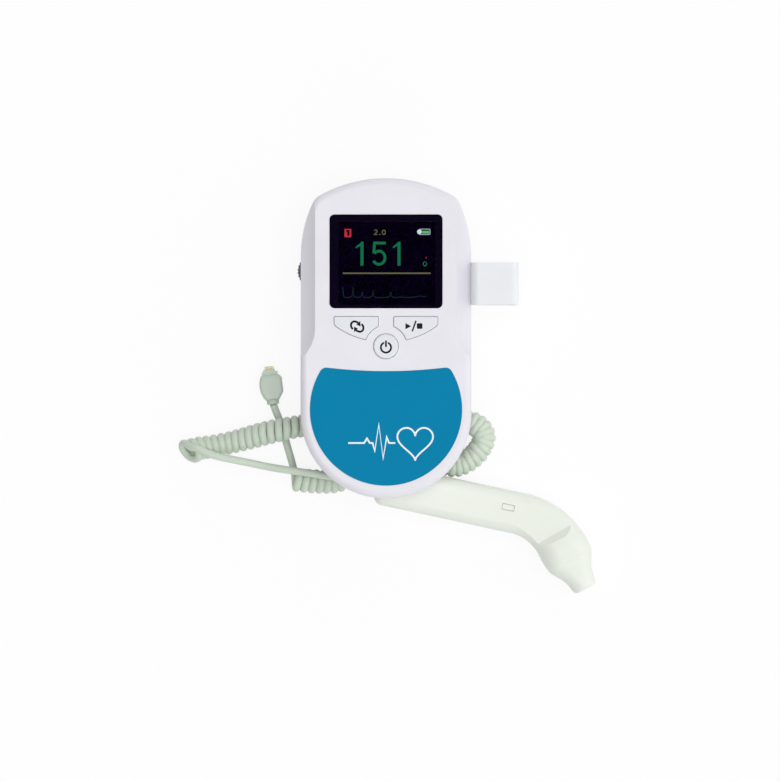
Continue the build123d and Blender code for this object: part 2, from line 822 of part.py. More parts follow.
with BuildPart() as probe_socket:
    with Locations((socket_x, (socket_back_y + socket_mouth_y) / 2, parting_z)):
        Box(socket_width, socket_mouth_y - socket_back_y, socket_height)
    with Locations((socket_x, socket_mouth_y - socket_face_depth / 2, parting_z)):
        Box(socket_face_width, socket_face_depth, socket_face_height)
    with Locations((socket_x, socket_mouth_y - socket_mouth_depth / 2, parting_z)):
        Box(socket_mouth_width, socket_mouth_depth, socket_mouth_height, mode=Mode.SUBTRACT)
finish(probe_socket, "probe_socket")

# ---- Speaker ---------------------------------------------------------------------------------------

with BuildPart() as speaker_mesh:
    with BuildSketch(Plane.XY.offset(grille_wall)):
        with Locations((0, speaker_y)):
            Circle(speaker_radius)
    extrude(amount=mesh_thickness)
finish(speaker_mesh, "speaker_mesh")

speaker_low_z = grille_wall + mesh_thickness
speaker_plane = Plane(origin=(0, speaker_y, speaker_low_z), x_dir=(1, 0, 0), z_dir=(0, -1, 0))
with BuildPart() as speaker:
    with BuildSketch(speaker_plane):
        with BuildLine():
            Polyline(
                (speaker_radius, 0),
                (speaker_radius, speaker_rim),
                (speaker_magnet_radius + 1.0, speaker_height / 2),
                (speaker_magnet_radius, speaker_height / 2),
                (speaker_magnet_radius, speaker_height),
                (0, speaker_height),
                (0, 1.6),
                (speaker_magnet_radius / 2, 2.6),
                (speaker_radius - 1.8, 0.6),
                (speaker_radius - 1.2, 0),
                close=True,
            )
        make_face()
    revolve(axis=Axis((0, speaker_y, 0), (0, 0, 1)))
finish(speaker, "speaker")

# ---- Batteries and door ----------------------------------------------------------------------------

cell_shift = (spring_length - cell_nub_length) / 2
with BuildPart() as batteries:
    for y, way in zip(cell_ys, (1, -1)):
        with Locations((way * cell_shift, y, cell_z)):
            Cylinder(cell_radius, cell_length, rotation=(0, 90, 0))
        with Locations((way * (cell_shift + cell_length / 2 + cell_nub_length / 2), y, cell_z)):
            Cylinder(cell_nub_radius, cell_nub_length, rotation=(0, 90, 0))
finish(batteries, "batteries")

contact_x = bay_half_width - contact_thickness / 2
with BuildPart() as battery_contacts:
    with Locations((contact_x, cell_row_y, cell_z)):
        Box(contact_thickness, cell_pitch + contact_side, contact_side)
    for y in cell_ys:
        with Locations((-contact_x, y, cell_z)):
            Box(contact_thickness, contact_side, contact_side)
finish(battery_contacts, "battery_contacts")

with BuildPart() as battery_springs:
    for y, way in zip(cell_ys, (-1, 1)):
        start_x = way * (bay_half_width - contact_thickness)
        pitch = (spring_length + cell_gap - 2 * spring_wire_radius) / spring_turns
        with BuildLine() as wire:
            Helix(
                pitch,
                pitch * spring_turns,
                spring_radius,
                center=(start_x - way * spring_wire_radius, y, cell_z),
                direction=(-way, 0, 0),
            )
        with BuildSketch(Plane(origin=wire.line @ 0, z_dir=wire.line % 0)):
            RegularPolygon(spring_wire_radius, 6)
        sweep(path=wire.line)
finish(battery_springs, "battery_springs")

with BuildPart() as battery_door:
    with Locations((0, (door_low_y + dome_y) / 2, door_recess + door_thickness / 2)):
        Box(2 * door_half_width, dome_y - door_low_y, door_thickness)
    add(hump.part, mode=Mode.INTERSECT)
    with Locations((0, (door_low_y + door_tongue_high_y) / 2, tongue_top_z - door_tongue_thickness / 2)):
        Box(2 * (door_half_width + door_tongue), door_tongue_high_y - door_low_y, door_tongue_thickness)
    # Thumb grip near the end that slides out
    with BuildSketch(Plane.XY.offset(door_recess)):
        with Locations(*[(0, hump_half_length - grip_inset - grip_pitch * rib) for rib in range(grip_ribs)]):
            SlotOverall(grip_length, grip_width)
    extrude(amount=grip_depth, mode=Mode.SUBTRACT)
finish(battery_door, "battery_door")

# ---- Probe holder ----------------------------------------------------------------------------------

ring_plane = Plane(
    origin=(body_half_width + holder_reach / 2, holder_y + holder_length / 2, parting_z),
    x_dir=(1, 0, 0),
    z_dir=(0, -1, 0),
)
ring_gap_width = holder_reach - holder_plate - holder_ring_wall
ring_gap_height = holder_height - 2 * holder_ring_wall
with BuildPart() as probe_holder:
    with BuildSketch(ring_plane):
        RectangleRounded(holder_reach, holder_height, holder_corner)
        with Locations((-(holder_ring_wall - holder_plate) / 2, 0)):
            RectangleRounded(ring_gap_width, ring_gap_height, holder_inner_corner, mode=Mode.SUBTRACT)
    extrude(amount=holder_length)
    with Locations((body_half_width - side_wall / 2, holder_y, parting_z)):
        Box(side_wall, holder_stem_length, holder_stem_height)
    with Locations((inner_x - holder_key_thickness / 2, holder_y, parting_z)):
        Box(holder_key_thickness, holder_key_length, holder_key_height)
finish(probe_holder, "probe_holder")

# ---- Probe -----------------------------------------------------------------------------------------


def flat(point, z=probe_z):
    """A point of the probe's centreline, at the probe's mid height."""
    return Vector(point[0], point[1], z)


handle_axis = (flat(probe_bend_start) - flat(probe_end)).normalized()
head_axis = (flat(probe_tip) - flat(probe_bend_end)).normalized()
handle_length = (flat(probe_bend_start) - flat(probe_end)).length
bend_line = TangentArc(flat(probe_bend_start), flat(probe_bend_end), tangent=handle_axis)


def section_plane(origin, axis):
    """A plane across the probe; its x runs across the probe and its y is up."""
    return Plane(origin=origin, x_dir=Vector(0, 0, 1).cross(axis), z_dir=axis)


# Distance back from the tip, half width, half height and corner radius of the nose's sections
nose_sections = [
    (nose_length, 10.1, 8.1, 6.9),
    (10.2, 8.4, 7.4, 6.6),
    (7.1, 6.7, 6.4, 5.7),
    (1.8, 5.4, 5.4, 5.2),
    (0.0, 4.9, 4.9, 4.7),
]
nose_base = section_plane(flat(probe_tip) - head_axis * nose_length, head_axis)

# The whole outer form of the two shells
with BuildPart() as probe_form:
    with BuildSketch(section_plane(flat(probe_end), handle_axis)):
        RectangleRounded(probe_width, probe_height, probe_corner)
    extrude(amount=handle_length)
    fillet(probe_form.faces().sort_by(Axis.X)[0].edges(), probe_end_radius)
    for step in range(bend_sections + 1):
        share = step / bend_sections
        width = probe_width + share * (probe_head_width - probe_width)
        height = probe_height + share * (probe_head_height - probe_height)
        corner = probe_corner + share * (probe_head_corner - probe_corner)
        with BuildSketch(section_plane(bend_line @ share, bend_line % share)):
            with Locations((0, (height - probe_height) / 2)):
                RectangleRounded(width, height, corner)
    with BuildSketch(nose_base):
        RectangleRounded(2 * nose_sections[0][1], 2 * nose_sections[0][2], nose_sections[0][3])
    loft()
    # The flat top of the handle and the slope at its end
    rise = probe_head_height - probe_height + tip_radius
    with BuildSketch(Plane(flat(flat_end, probe_height), head_axis, head_axis.cross(Vector(0, 0, 1)))):
        with BuildLine():
            Polyline(
                (-probe_head_width, 0),
                (0, 0),
                (rise / math.tan(math.radians(flat_slope)), rise),
                (-probe_head_width, rise),
                close=True,
            )
        make_face()
    extrude(amount=probe_head_width, both=True, mode=Mode.SUBTRACT)

with BuildPart() as probe_core:
    with BuildSketch(section_plane(flat(probe_end) + handle_axis * probe_wall, handle_axis)):
        core_width, core_height = probe_width - 2 * probe_wall, probe_height - 2 * probe_wall
        RectangleRounded(core_width, core_height, probe_corner - probe_wall)
    extrude(amount=handle_length - probe_wall)

snap_plane = Plane(origin=(snap_centre[0], snap_centre[1], probe_wall), x_dir=handle_axis)
with BuildPart() as probe_upper_shell:
    add(probe_form.part)
    split(bisect_by=Plane.XY.offset(probe_z))
    add(probe_core.part, mode=Mode.SUBTRACT)
    with BuildSketch(snap_plane):
        Rectangle(snap_length, snap_width)
    extrude(amount=probe_height, mode=Mode.SUBTRACT)
finish(probe_upper_shell, "probe_upper_shell")

with BuildPart() as probe_lower_shell:
    add(probe_form.part)
    split(bisect_by=Plane.XY.offset(probe_z), keep=Keep.BOTTOM)
    add(probe_core.part, mode=Mode.SUBTRACT)
    # The snap hook stands up from the floor and shows in the upper shell's window
    with BuildSketch(snap_plane):
        Rectangle(snap_length - 2 * snap_gap, snap_width - 2 * snap_gap)
    extrude(amount=probe_height - probe_wall - snap_sink)
finish(probe_lower_shell, "probe_lower_shell")

transducer_depth = lens_thickness + crystal_thickness + backing_thickness
with BuildPart() as probe_nose:
    for back, half_width, half_height, corner in nose_sections:
        with BuildSketch(section_plane(flat(probe_tip) - head_axis * back, head_axis)):
            RectangleRounded(2 * half_width, 2 * half_height, corner)
    loft()
    tip_face = probe_nose.faces().sort_by(Axis(flat(probe_tip), head_axis))[-1]
    fillet(tip_face.edges(), tip_radius)
    with BuildSketch(section_plane(flat(probe_tip), head_axis)):
        Circle(lens_radius)
    extrude(amount=-transducer_depth, mode=Mode.SUBTRACT)
finish(probe_nose, "probe_nose")

with BuildPart() as acoustic_lens:
    with BuildSketch(section_plane(flat(probe_tip), head_axis)):
        Circle(lens_radius)
    extrude(amount=-lens_thickness)
finish(acoustic_lens, "acoustic_lens")

with BuildPart() as transducer_crystals:
    with BuildSketch(section_plane(flat(probe_tip) - head_axis * lens_thickness, head_axis)):
        Circle(lens_radius)
        Rectangle(crystal_split, 2 * lens_radius, mode=Mode.SUBTRACT)
    extrude(amount=-crystal_thickness)
finish(transducer_crystals, "transducer_crystals")

with BuildPart() as crystal_backing:
    backing_front = flat(probe_tip) - head_axis * (lens_thickness + crystal_thickness)
    with BuildSketch(section_plane(backing_front, head_axis)):
        Circle(lens_radius)
    extrude(amount=-backing_thickness)
finish(crystal_backing, "crystal_backing")

with BuildPart() as probe_boot:
    with BuildSketch(section_plane(flat(probe_end), -handle_axis)):
        Circle(boot_radius)
    extrude(amount=boot_length, taper=boot_taper)
finish(probe_boot, "probe_boot")

# ---- Plug ------------------------------------------------------------------------------------------

heading = math.radians(plug_heading)
plug_across = Vector(math.cos(heading), math.sin(heading), 0)
plug_along = Vector(-math.sin(heading), math.cos(heading), 0)
plug_mid_z = plug_thickness / 2


def plug_point(along, z=plug_mid_z):
    """A point on the plug's axis, by its distance from where the cord leaves the collar."""
    return Vector(plug_exit[0], plug_exit[1], z) + plug_along * along


with BuildPart() as plug_collar:
    with BuildSketch(Plane(origin=plug_point(0), x_dir=plug_across, z_dir=plug_along)):
        Circle(collar_radius)
    extrude(amount=collar_length)
    fillet(plug_collar.faces().sort_by(Axis.Y)[0].edges(), collar_edge_radius)
finish(plug_collar, "plug_collar")

with BuildPart() as plug_body:
    with BuildSketch(Plane(origin=plug_point(collar_length, 0), x_dir=plug_across)):
        with BuildLine():
            Spline(
                (-plug_foot_width / 2, 0),
                (-plug_width / 2 + 0.25, plug_body_length * 0.35),
                (-plug_width / 2, plug_body_length * 0.6),
                (-plug_neck_width / 2, plug_body_length),
            )
            Line((-plug_neck_width / 2, plug_body_length), (plug_neck_width / 2, plug_body_length))
            Line((plug_neck_width / 2, plug_body_length), (plug_width / 2, plug_body_length - plug_shoulder))
            Line((plug_width / 2, plug_body_length - plug_shoulder), (plug_width / 2, plug_body_length * 0.3))
            Line((plug_width / 2, plug_body_length * 0.3), (plug_foot_width / 2, 0))
            Line((plug_foot_width / 2, 0), (-plug_foot_width / 2, 0))
        make_face()
    extrude(amount=plug_thickness)
    fillet(plug_body.edges().filter_by(Axis.Z), plug_corner_radius)
    fillet(plug_body.faces().sort_by(Axis.Z)[-1].edges(), plug_edge_radius)
    fillet(plug_body.faces().sort_by(Axis.Z)[0].edges(), plug_edge_radius)
finish(plug_body, "plug_body")

nose_start = collar_length + plug_body_length
nose_low_z = (plug_thickness - plug_nose_thickness) / 2
with BuildPart() as plug_nose:
    with BuildSketch(Plane(origin=plug_point(nose_start, nose_low_z), x_dir=plug_across)):
        with BuildLine():
            Polyline(
                (-plug_nose_width / 2, 0),
                (-plug_nose_width / 2, plug_nose_length * 0.4),
                (-plug_tongue_width / 2 - 0.4, plug_nose_length),
                (plug_tongue_width / 2 + 0.4, plug_nose_length),
                (plug_tongue_width / 2 + 0.4, plug_nose_length * 0.6),
                (plug_nose_width / 2, plug_nose_length * 0.6),
                (plug_nose_width / 2, 0),
                close=True,
            )
        make_face()
    extrude(amount=plug_nose_thickness)
    with Locations(Location(Plane(origin=plug_point(nose_start + plug_nose_length / 2), x_dir=plug_across))):
        Box(plug_tongue_width, plug_nose_length, plug_tongue_thickness, mode=Mode.SUBTRACT)
finish(plug_nose, "plug_nose")

with BuildPart() as plug_tongue:
    tongue_length = plug_nose_length + plug_tongue_proud
    with Locations(Location(Plane(origin=plug_point(nose_start + tongue_length / 2), x_dir=plug_across))):
        Box(plug_tongue_width, tongue_length, plug_tongue_thickness)
finish(plug_tongue, "plug_tongue")

with BuildPart() as plug_contacts:
    contact_along = nose_start + plug_nose_length + plug_tongue_proud / 2
    contact_origin = plug_point(contact_along, plug_mid_z + plug_tongue_thickness / 2)
    contact_plane = Plane(origin=contact_origin, x_dir=plug_across)
    with BuildSketch(contact_plane):
        with GridLocations(plug_tongue_width / contact_count, 0, contact_count, 1):
            Rectangle(plug_tongue_width / contact_count * contact_share, plug_tongue_proud - 0.2)
    extrude(amount=contact_height)
finish(plug_contacts, "plug_contacts")

# ---- Cord ------------------------------------------------------------------------------------------


def tube(points, radius, name):
    """A tube of straight runs joined by tangent arcs, each arc as large as its two runs allow."""
    route = [Vector(*point) for point in points]
    radii = []
    for before, corner, after in zip(route, route[1:], route[2:]):
        half_turn = math.radians((corner - before).get_angle(after - corner)) / 2
        shorter_run = min((corner - before).length, (after - corner).length)
        radii.append(0.45 * shorter_run / math.tan(half_turn))
    with BuildPart() as cord:
        with BuildLine() as path:
            FilletPolyline(*route, radius=radii)
        centreline = path.wires()[0]
        with BuildSketch(Plane(origin=centreline @ 0, z_dir=centreline % 0)):
            Circle(radius)
        sweep(path=centreline)
    runs = [round((b - a).length, 1) for a, b in zip(route, route[1:])]
    print(name, "length", round(centreline.length, 1), "radii", [round(r, 1) for r in radii], "runs", runs)
    print(name, "volume", round(cord.part.volume, 1), "of", round(math.pi * radius**2 * centreline.length, 1))
    finish(cord, name)


boot_face = flat(probe_end) - handle_axis * boot_length
# From the coil's left end over its own turns, across to the near end and down to the probe's boot
tube(
    [
        (-80.2, -61.6, 11.3),
        (-74.6, -64.4, 12.0),
        (-66.2, -66.2, 10.6),
        (-57.7, -67.9, 9.6),
        (-49.3, -69.7, 9.9),
        (-40.8, -71.0, 11.3),
        (-32.3, -72.2, 12.2),
        (-23.5, -73.6, 12.4),
        (-15.6, -74.5, 11.6),
        (boot_face.X, boot_face.Y, boot_face.Z),
    ],
    cord_radius,
    "probe_lead",
)
# The curly length: its near end, the loop round the right of the foot, and the long run to the left
tube(
    [
        (-38.8, -75.1, coil_radius),
        (-29.0, -76.0, coil_radius),
        (-20.4, -76.0, coil_radius),
        (-15.9, -73.0, coil_radius),
        (-13.6, -68.4, coil_radius),
        (-9.6, -63.7, coil_radius),
        (-3.9, -61.5, coil_radius),
        (4.0, -61.4, coil_radius),
        (12.8, -63.3, coil_radius),
        (21.4, -66.1, coil_radius),
        (29.4, -68.8, coil_radius),
        (35.5, -68.2, coil_radius),
        (39.8, -65.4, coil_radius),
        (42.2, -61.8, coil_radius),
        (42.8, -58.2, coil_radius),
        (42.2, -55.0, coil_radius),
        (40.0, -52.4, coil_radius),
        (36.6, -50.6, coil_radius),
        (29.6, -49.6, coil_radius),
        (16.5, -49.7, coil_radius),
        (-4.0, -50.5, coil_radius),
        (-21.0, -50.8, coil_radius),
        (-31.5, -51.3, 6.4),
        (-40.0, -52.7, 9.2),
        (-48.6, -54.5, 9.2),
        (-57.0, -56.8, 6.6),
        (-66.0, -59.2, coil_radius),
        (-74.6, -61.0, coil_radius),
        (-80.8, -61.6, 5.3),
        (-85.6, -63.9, 6.2),
    ],
    coil_radius,
    "curly_cord",
)
# From the near end of the curly length, under its long run, to the plug
tube(
    [
        (plug_exit[0], plug_exit[1], plug_mid_z),
        (-46.8, -46.4, 2.4),
        (-45.0, -50.8, 1.65),
        (-43.6, -55.6, cord_radius),
        (-42.2, -60.6, cord_radius),
        (-40.8, -65.4, cord_radius),
        (-39.6, -69.7, cord_radius),
        (-38.9, -73.4, cord_radius),
    ],
    cord_radius,
    "plug_lead",
)
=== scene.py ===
import math

import bmesh
import bpy
from mathutils import Matrix, Vector


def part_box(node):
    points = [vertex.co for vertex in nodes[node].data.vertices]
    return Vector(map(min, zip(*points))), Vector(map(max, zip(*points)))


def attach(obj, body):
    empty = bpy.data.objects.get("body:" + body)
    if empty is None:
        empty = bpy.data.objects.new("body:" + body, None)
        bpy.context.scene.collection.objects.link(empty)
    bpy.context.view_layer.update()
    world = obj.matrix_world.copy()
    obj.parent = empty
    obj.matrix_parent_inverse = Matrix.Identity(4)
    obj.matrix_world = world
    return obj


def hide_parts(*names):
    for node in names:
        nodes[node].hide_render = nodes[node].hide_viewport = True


# Looks of the fetal doppler monitor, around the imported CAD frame.
# Lengths are in metres, unless a name or a docstring says millimetres.

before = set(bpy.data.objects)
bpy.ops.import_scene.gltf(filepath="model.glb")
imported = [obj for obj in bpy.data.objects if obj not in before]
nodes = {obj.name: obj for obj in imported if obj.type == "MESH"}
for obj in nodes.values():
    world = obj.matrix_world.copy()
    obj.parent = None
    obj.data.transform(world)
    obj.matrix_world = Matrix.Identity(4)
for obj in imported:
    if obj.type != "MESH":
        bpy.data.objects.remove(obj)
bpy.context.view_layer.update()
scene = bpy.context.scene
MM = 0.001


def mm(*values):
    """A point given in millimetres, in metres."""
    return Vector([value * MM for value in values])


def srgb(red, green, blue):
    """A colour given as it is seen, 0 to 255, as linear light."""
    linear = []
    for value in (red, green, blue):
        value /= 255
        linear.append(value / 12.92 if value <= 0.04045 else ((value + 0.055) / 1.055) ** 2.4)
    return (*linear, 1.0)


# ---- Camera --------------------------------------------------------------------------------------

# It looks straight down on the middle of the group, from far enough that nothing leans
VIEW_CENTRE_MM = (1.7, -37.0)
VIEW_WIDTH_MM = 330.2
FRONT_HEIGHT_MM = 25.0
LENS_MM = 250.0
SENSOR_MM = 36.0
NEAREST, FARTHEST = 0.01, 20.0

camera_data = bpy.data.cameras.new("camera")
camera_data.lens = LENS_MM
camera_data.sensor_width = SENSOR_MM
camera_data.clip_start = NEAREST
camera_data.clip_end = FARTHEST
camera = bpy.data.objects.new("camera", camera_data)
scene.collection.objects.link(camera)
camera_height_mm = FRONT_HEIGHT_MM + VIEW_WIDTH_MM * LENS_MM / SENSOR_MM
camera.location = mm(*VIEW_CENTRE_MM, camera_height_mm)
scene.camera = camera


# ---- Materials -----------------------------------------------------------------------------------

# Where most of a noise texture's values lie
NOISE_SPAN = (0.3, 0.7)

# Plastic: wide mottling, a finer sheen, and the grain of the mould
CLOUD_SCALE = 55.0
SHEEN_SCALE = 420.0
SHEEN_SPREAD = 0.05
GRAIN_DEPTH_MM = 0.02

# Metal, the display's pixel grid, the window's haze, the battery's gloss and the speaker's mesh
MARK_SCALE = 900.0
MARK_DEPTH_MM = 0.01
MARK_RELIEF = 0.15
PIXEL_SCALE = 5200.0
HAZE_SCALE = 60.0
JACKET_SCALE = 300.0
THREAD_SCALE = 1100.0
THREAD_DEPTH_MM = 0.08
THREAD_RELIEF = 0.6


def new_material(name):
    """A node material with its shader, and the object coordinates that its textures use."""
    material = bpy.data.materials.new(name)
    material.use_nodes = True
    tree = material.node_tree
    shader = tree.nodes["Principled BSDF"]
    place = tree.nodes.new("ShaderNodeTexCoord")
    return material, tree, shader, place.outputs["Object"]


def noise(tree, place, scale, detail=2.0):
    """A noise texture's value."""
    texture = tree.nodes.new("ShaderNodeTexNoise")
    texture.inputs["Scale"].default_value = scale
    texture.inputs["Detail"].default_value = detail
    tree.links.new(place, texture.inputs["Vector"])
    return texture.outputs["Fac"]


def between(tree, value, low, high, span=NOISE_SPAN):
    """value carried from its span to the range from low to high."""
    node = tree.nodes.new("ShaderNodeMapRange")
    node.inputs["From Min"].default_value, node.inputs["From Max"].default_value = span
    node.inputs["To Min"].default_value = low
    node.inputs["To Max"].default_value = high
    tree.links.new(value, node.inputs["Value"])
    return node.outputs["Result"]


def mixed(tree, share, first, second):
    """Two colours mixed by a share."""
    node = tree.nodes.new("ShaderNodeMix")
    node.data_type = "RGBA"
    node.inputs["A"].default_value = first
    node.inputs["B"].default_value = second
    tree.links.new(share, node.inputs["Factor"])
    return node.outputs["Result"]


def shaded(colour, share):
    """A linear colour made lighter or darker."""
    return (*[min(1.0, channel * share) for channel in colour[:3]], 1.0)


def tinted(tree, texture, colour, darker, lighter):
    """A colour that a noise texture carries between two shades."""
    share = between(tree, texture, 0.0, 1.0)
    return mixed(tree, share, shaded(colour, darker), shaded(colour, lighter))


def bump(tree, shader, height, strength, depth_mm):
    """Fine relief on the shader's normal."""
    node = tree.nodes.new("ShaderNodeBump")
    node.inputs["Strength"].default_value = strength
    node.inputs["Distance"].default_value = depth_mm * MM
    tree.links.new(height, node.inputs["Height"])
    tree.links.new(node.outputs["Normal"], shader.inputs["Normal"])


def plastic(name, colour, roughness, grain=9000.0, relief=0.1, mottle=0.02, specular=0.35):
    """Moulded plastic: a fine spark-eroded grain, faint mottling and uneven sheen."""
    material, tree, shader, place = new_material(name)
    clouds = noise(tree, place, CLOUD_SCALE, detail=3.0)
    tint = tinted(tree, clouds, colour, 1 - mottle, 1 + mottle)
    tree.links.new(tint, shader.inputs["Base Color"])
    sheen = noise(tree, place, SHEEN_SCALE, detail=4.0)
    uneven = between(tree, sheen, roughness - SHEEN_SPREAD, roughness + SHEEN_SPREAD)
    tree.links.new(uneven, shader.inputs["Roughness"])
    bump(tree, shader, noise(tree, place, grain), relief, GRAIN_DEPTH_MM)
    shader.inputs["Specular IOR Level"].default_value = specular
    return material


def metal(name, colour, roughness):
    """Bare metal with fine marks."""
    material, tree, shader, place = new_material(name)
    marks = noise(tree, place, MARK_SCALE, detail=4.0)
    tree.links.new(tinted(tree, marks, colour, 0.85, 1.1), shader.inputs["Base Color"])
    uneven = between(tree, marks, roughness - 0.08, roughness + 0.1)
    tree.links.new(uneven, shader.inputs["Roughness"])
    bump(tree, shader, marks, MARK_RELIEF, MARK_DEPTH_MM)
    shader.inputs["Metallic"].default_value = 1.0
    return material


def glowing(name, colour):
    """Lit dots of the display, with the fine grid of its pixels."""
    material, tree, shader, place = new_material(name)
    grid = noise(tree, place, PIXEL_SCALE, detail=0.0)
    tree.links.new(tinted(tree, grid, colour, 0.82, 1.1), shader.inputs["Emission Color"])
    shader.inputs["Emission Strength"].default_value = 1.0
    shader.inputs["Base Color"].default_value = (0.0, 0.0, 0.0, 1.0)
    shader.inputs["Roughness"].default_value = 0.6
    shader.inputs["Specular IOR Level"].default_value = 0.0
    return material


def clear_acrylic(name):
    """A thin clear window with the faintest haze, which neither bends light nor mirrors it."""
    material, tree, shader, place = new_material(name)
    haze = noise(tree, place, HAZE_SCALE, detail=3.0)
    tree.links.new(between(tree, haze, 0.0, 0.01), shader.inputs["Roughness"])
    shader.inputs["Base Color"].default_value = (1.0, 1.0, 1.0, 1.0)
    shader.inputs["Transmission Weight"].default_value = 1.0
    shader.inputs["IOR"].default_value = 1.0
    shader.inputs["Specular IOR Level"].default_value = 0.0
    return material


def woven_mesh(name):
    """Fine woven dust mesh, with painted shade in the gaps between its threads."""
    material, tree, shader, place = new_material(name)
    crossed = tree.nodes.new("ShaderNodeMath")
    crossed.operation = "MAXIMUM"
    for direction, socket in zip("XY", crossed.inputs):
        wave = tree.nodes.new("ShaderNodeTexWave")
        wave.bands_direction = direction
        wave.inputs["Scale"].default_value = THREAD_SCALE
        tree.links.new(place, wave.inputs["Vector"])
        tree.links.new(wave.outputs["Fac"], socket)
    threads = crossed.outputs["Value"]
    # The gaps between the threads are painted near black as painted shade, and the threads are a
    # lighter dark grey
    tint = mixed(tree, threads, srgb(12, 12, 13), srgb(52, 52, 55))
    tree.links.new(tint, shader.inputs["Base Color"])
    bump(tree, shader, threads, THREAD_RELIEF, THREAD_DEPTH_MM)
    shader.inputs["Roughness"].default_value = 0.85
    return material


def battery_jacket(name):
    """Printed battery jacket: a dark green body with a lighter band, and a bright bare end."""
    material, tree, shader, place = new_material(name)
    parts = tree.nodes.new("ShaderNodeSeparateXYZ")
    tree.links.new(place, parts.inputs["Vector"])
    bands = tree.nodes.new("ShaderNodeValToRGB")
    bands.color_ramp.interpolation = "CONSTANT"
    stops = [
        (0.0, srgb(186, 186, 190)),
        (0.03, srgb(28, 88, 62)),
        (0.72, srgb(200, 160, 60)),
        (0.76, srgb(30, 34, 36)),
    ]
    elements = bands.color_ramp.elements
    there = len(elements)
    for index, (position, colour) in enumerate(stops):
        stop = elements[index] if index < there else elements.new(position)
        stop.position = position
        stop.color = colour
    low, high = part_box("batteries")
    along = between(tree, parts.outputs["X"], 0.0, 1.0, span=(low.x, high.x))
    tree.links.new(along, bands.inputs["Fac"])
    tree.links.new(bands.outputs["Color"], shader.inputs["Base Color"])
    gloss = between(tree, noise(tree, place, JACKET_SCALE), 0.22, 0.36)
    tree.links.new(gloss, shader.inputs["Roughness"])
    shader.inputs["Metallic"].default_value = 0.35
    return material


housing_white = plastic("housing_white", srgb(232, 230, 237), 0.38, relief=0.12, specular=0.6)
holder_white = plastic("holder_white", srgb(238, 240, 244), 0.36, relief=0.08)
key_white = plastic("key_white", srgb(231, 233, 239), 0.38, relief=0.08)
key_print = plastic("key_print", srgb(16, 20, 34), 0.5, relief=0.05, specular=0.1)
panel_blue = plastic(
    "panel_blue", srgb(4, 134, 178), 0.38, grain=6000.0, mottle=0.015, specular=0.03
)
panel_print = plastic("panel_print", srgb(244, 248, 250), 0.5, relief=0.05)
window_clear = clear_acrylic("window_clear")
window_print = plastic(
    "window_print", srgb(6, 3, 17), 0.4, relief=0.02, mottle=0.05, specular=0.005
)
display_dark = plastic(
    "display_dark", srgb(4, 1, 14), 0.36, grain=5000.0, relief=0.02, mottle=0.1, specular=0.0
)
wheel_grey = plastic("wheel_grey", srgb(88, 86, 99), 0.5, relief=0.15)
inner_black = plastic("inner_black", srgb(34, 34, 36), 0.55, relief=0.15)
board_green = plastic("board_green", srgb(24, 92, 60), 0.35, relief=0.2, mottle=0.08)
chip_black = plastic("chip_black", srgb(40, 40, 42), 0.6)
speaker_metal = plastic("speaker_metal", srgb(96, 96, 100), 0.4)
probe_mint = plastic(
    "probe_mint", srgb(237, 242, 232), 0.38, relief=0.12, mottle=0.015, specular=0.5
)
lens_grey = plastic("lens_grey", srgb(214, 216, 206), 0.36, relief=0.03, specular=0.5)
crystal_cream = plastic("crystal_cream", srgb(214, 206, 180), 0.6)
cord_green = plastic(
    "cord_green", srgb(208, 220, 204), 0.42, grain=7000.0, relief=0.06, mottle=0.03
)
plug_green = plastic(
    "plug_green", srgb(202, 214, 200), 0.4, grain=7000.0, relief=0.08, mottle=0.03
)
tongue_tan = plastic("tongue_tan", srgb(184, 180, 146), 0.5)
screw_steel = metal("screw_steel", srgb(190, 190, 194), 0.38)
contact_nickel = metal("contact_nickel", srgb(205, 200, 190), 0.25)
contact_gold = metal("contact_gold", srgb(182, 176, 134), 0.38)

MATERIAL_NODES = [
    (housing_white, ["front_cover", "rear_cover", "battery_door"]),
    (holder_white, ["probe_holder"]),
    (key_white, ["mode_button", "play_stop_button", "power_button"]),
    (panel_blue, ["front_panel"]),
    (window_clear, ["display_window"]),
    (display_dark, ["display_module"]),
    (board_green, ["main_board"]),
    (chip_black, ["board_chips", "key_switches"]),
    (wheel_grey, ["volume_wheel"]),
    (inner_black, ["display_holder", "potentiometer", "headphone_jack", "probe_socket"]),
    (inner_black, ["crystal_backing"]),
    (speaker_metal, ["speaker"]),
    (woven_mesh("mesh_black"), ["speaker_mesh"]),
    (battery_jacket("battery_jacket"), ["batteries"]),
    (contact_nickel, ["battery_contacts", "battery_springs"]),
    (screw_steel, ["case_screws", "board_screws", "wheel_screw"]),
    (probe_mint, ["probe_upper_shell", "probe_lower_shell", "probe_nose"]),
    (lens_grey, ["acoustic_lens"]),
    (crystal_cream, ["transducer_crystals"]),
    (cord_green, ["probe_boot"]),
    (plug_green, ["plug_collar", "plug_body", "plug_nose"]),
    (tongue_tan, ["plug_tongue"]),
    (contact_gold, ["plug_contacts"]),
]
for material, names in MATERIAL_NODES:
    for name in names:
        mesh = nodes[name].data
        mesh.materials.clear()
        mesh.materials.append(material)


# ---- Mesh helpers --------------------------------------------------------------------------------

# A corner sharper than this share of its stroke's width isn't mitred any further
MITRE_LIMIT = 0.35
CAP_STEPS = 10


def placed(name, mesh, material, body):
    """A mesh as a piece that rides on a body."""
    mesh.materials.append(material)
    piece = bpy.data.objects.new(name, mesh)
    scene.collection.objects.link(piece)
    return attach(piece, body)


def new_object(name, vertices, faces, material, body, smooth=False):
    """A piece from its vertices and faces."""
    mesh = bpy.data.meshes.new(name)
    mesh.from_pydata(vertices, [], faces)
    mesh.update()
    if smooth:
        mesh.shade_smooth()
    return placed(name, mesh, material, body)


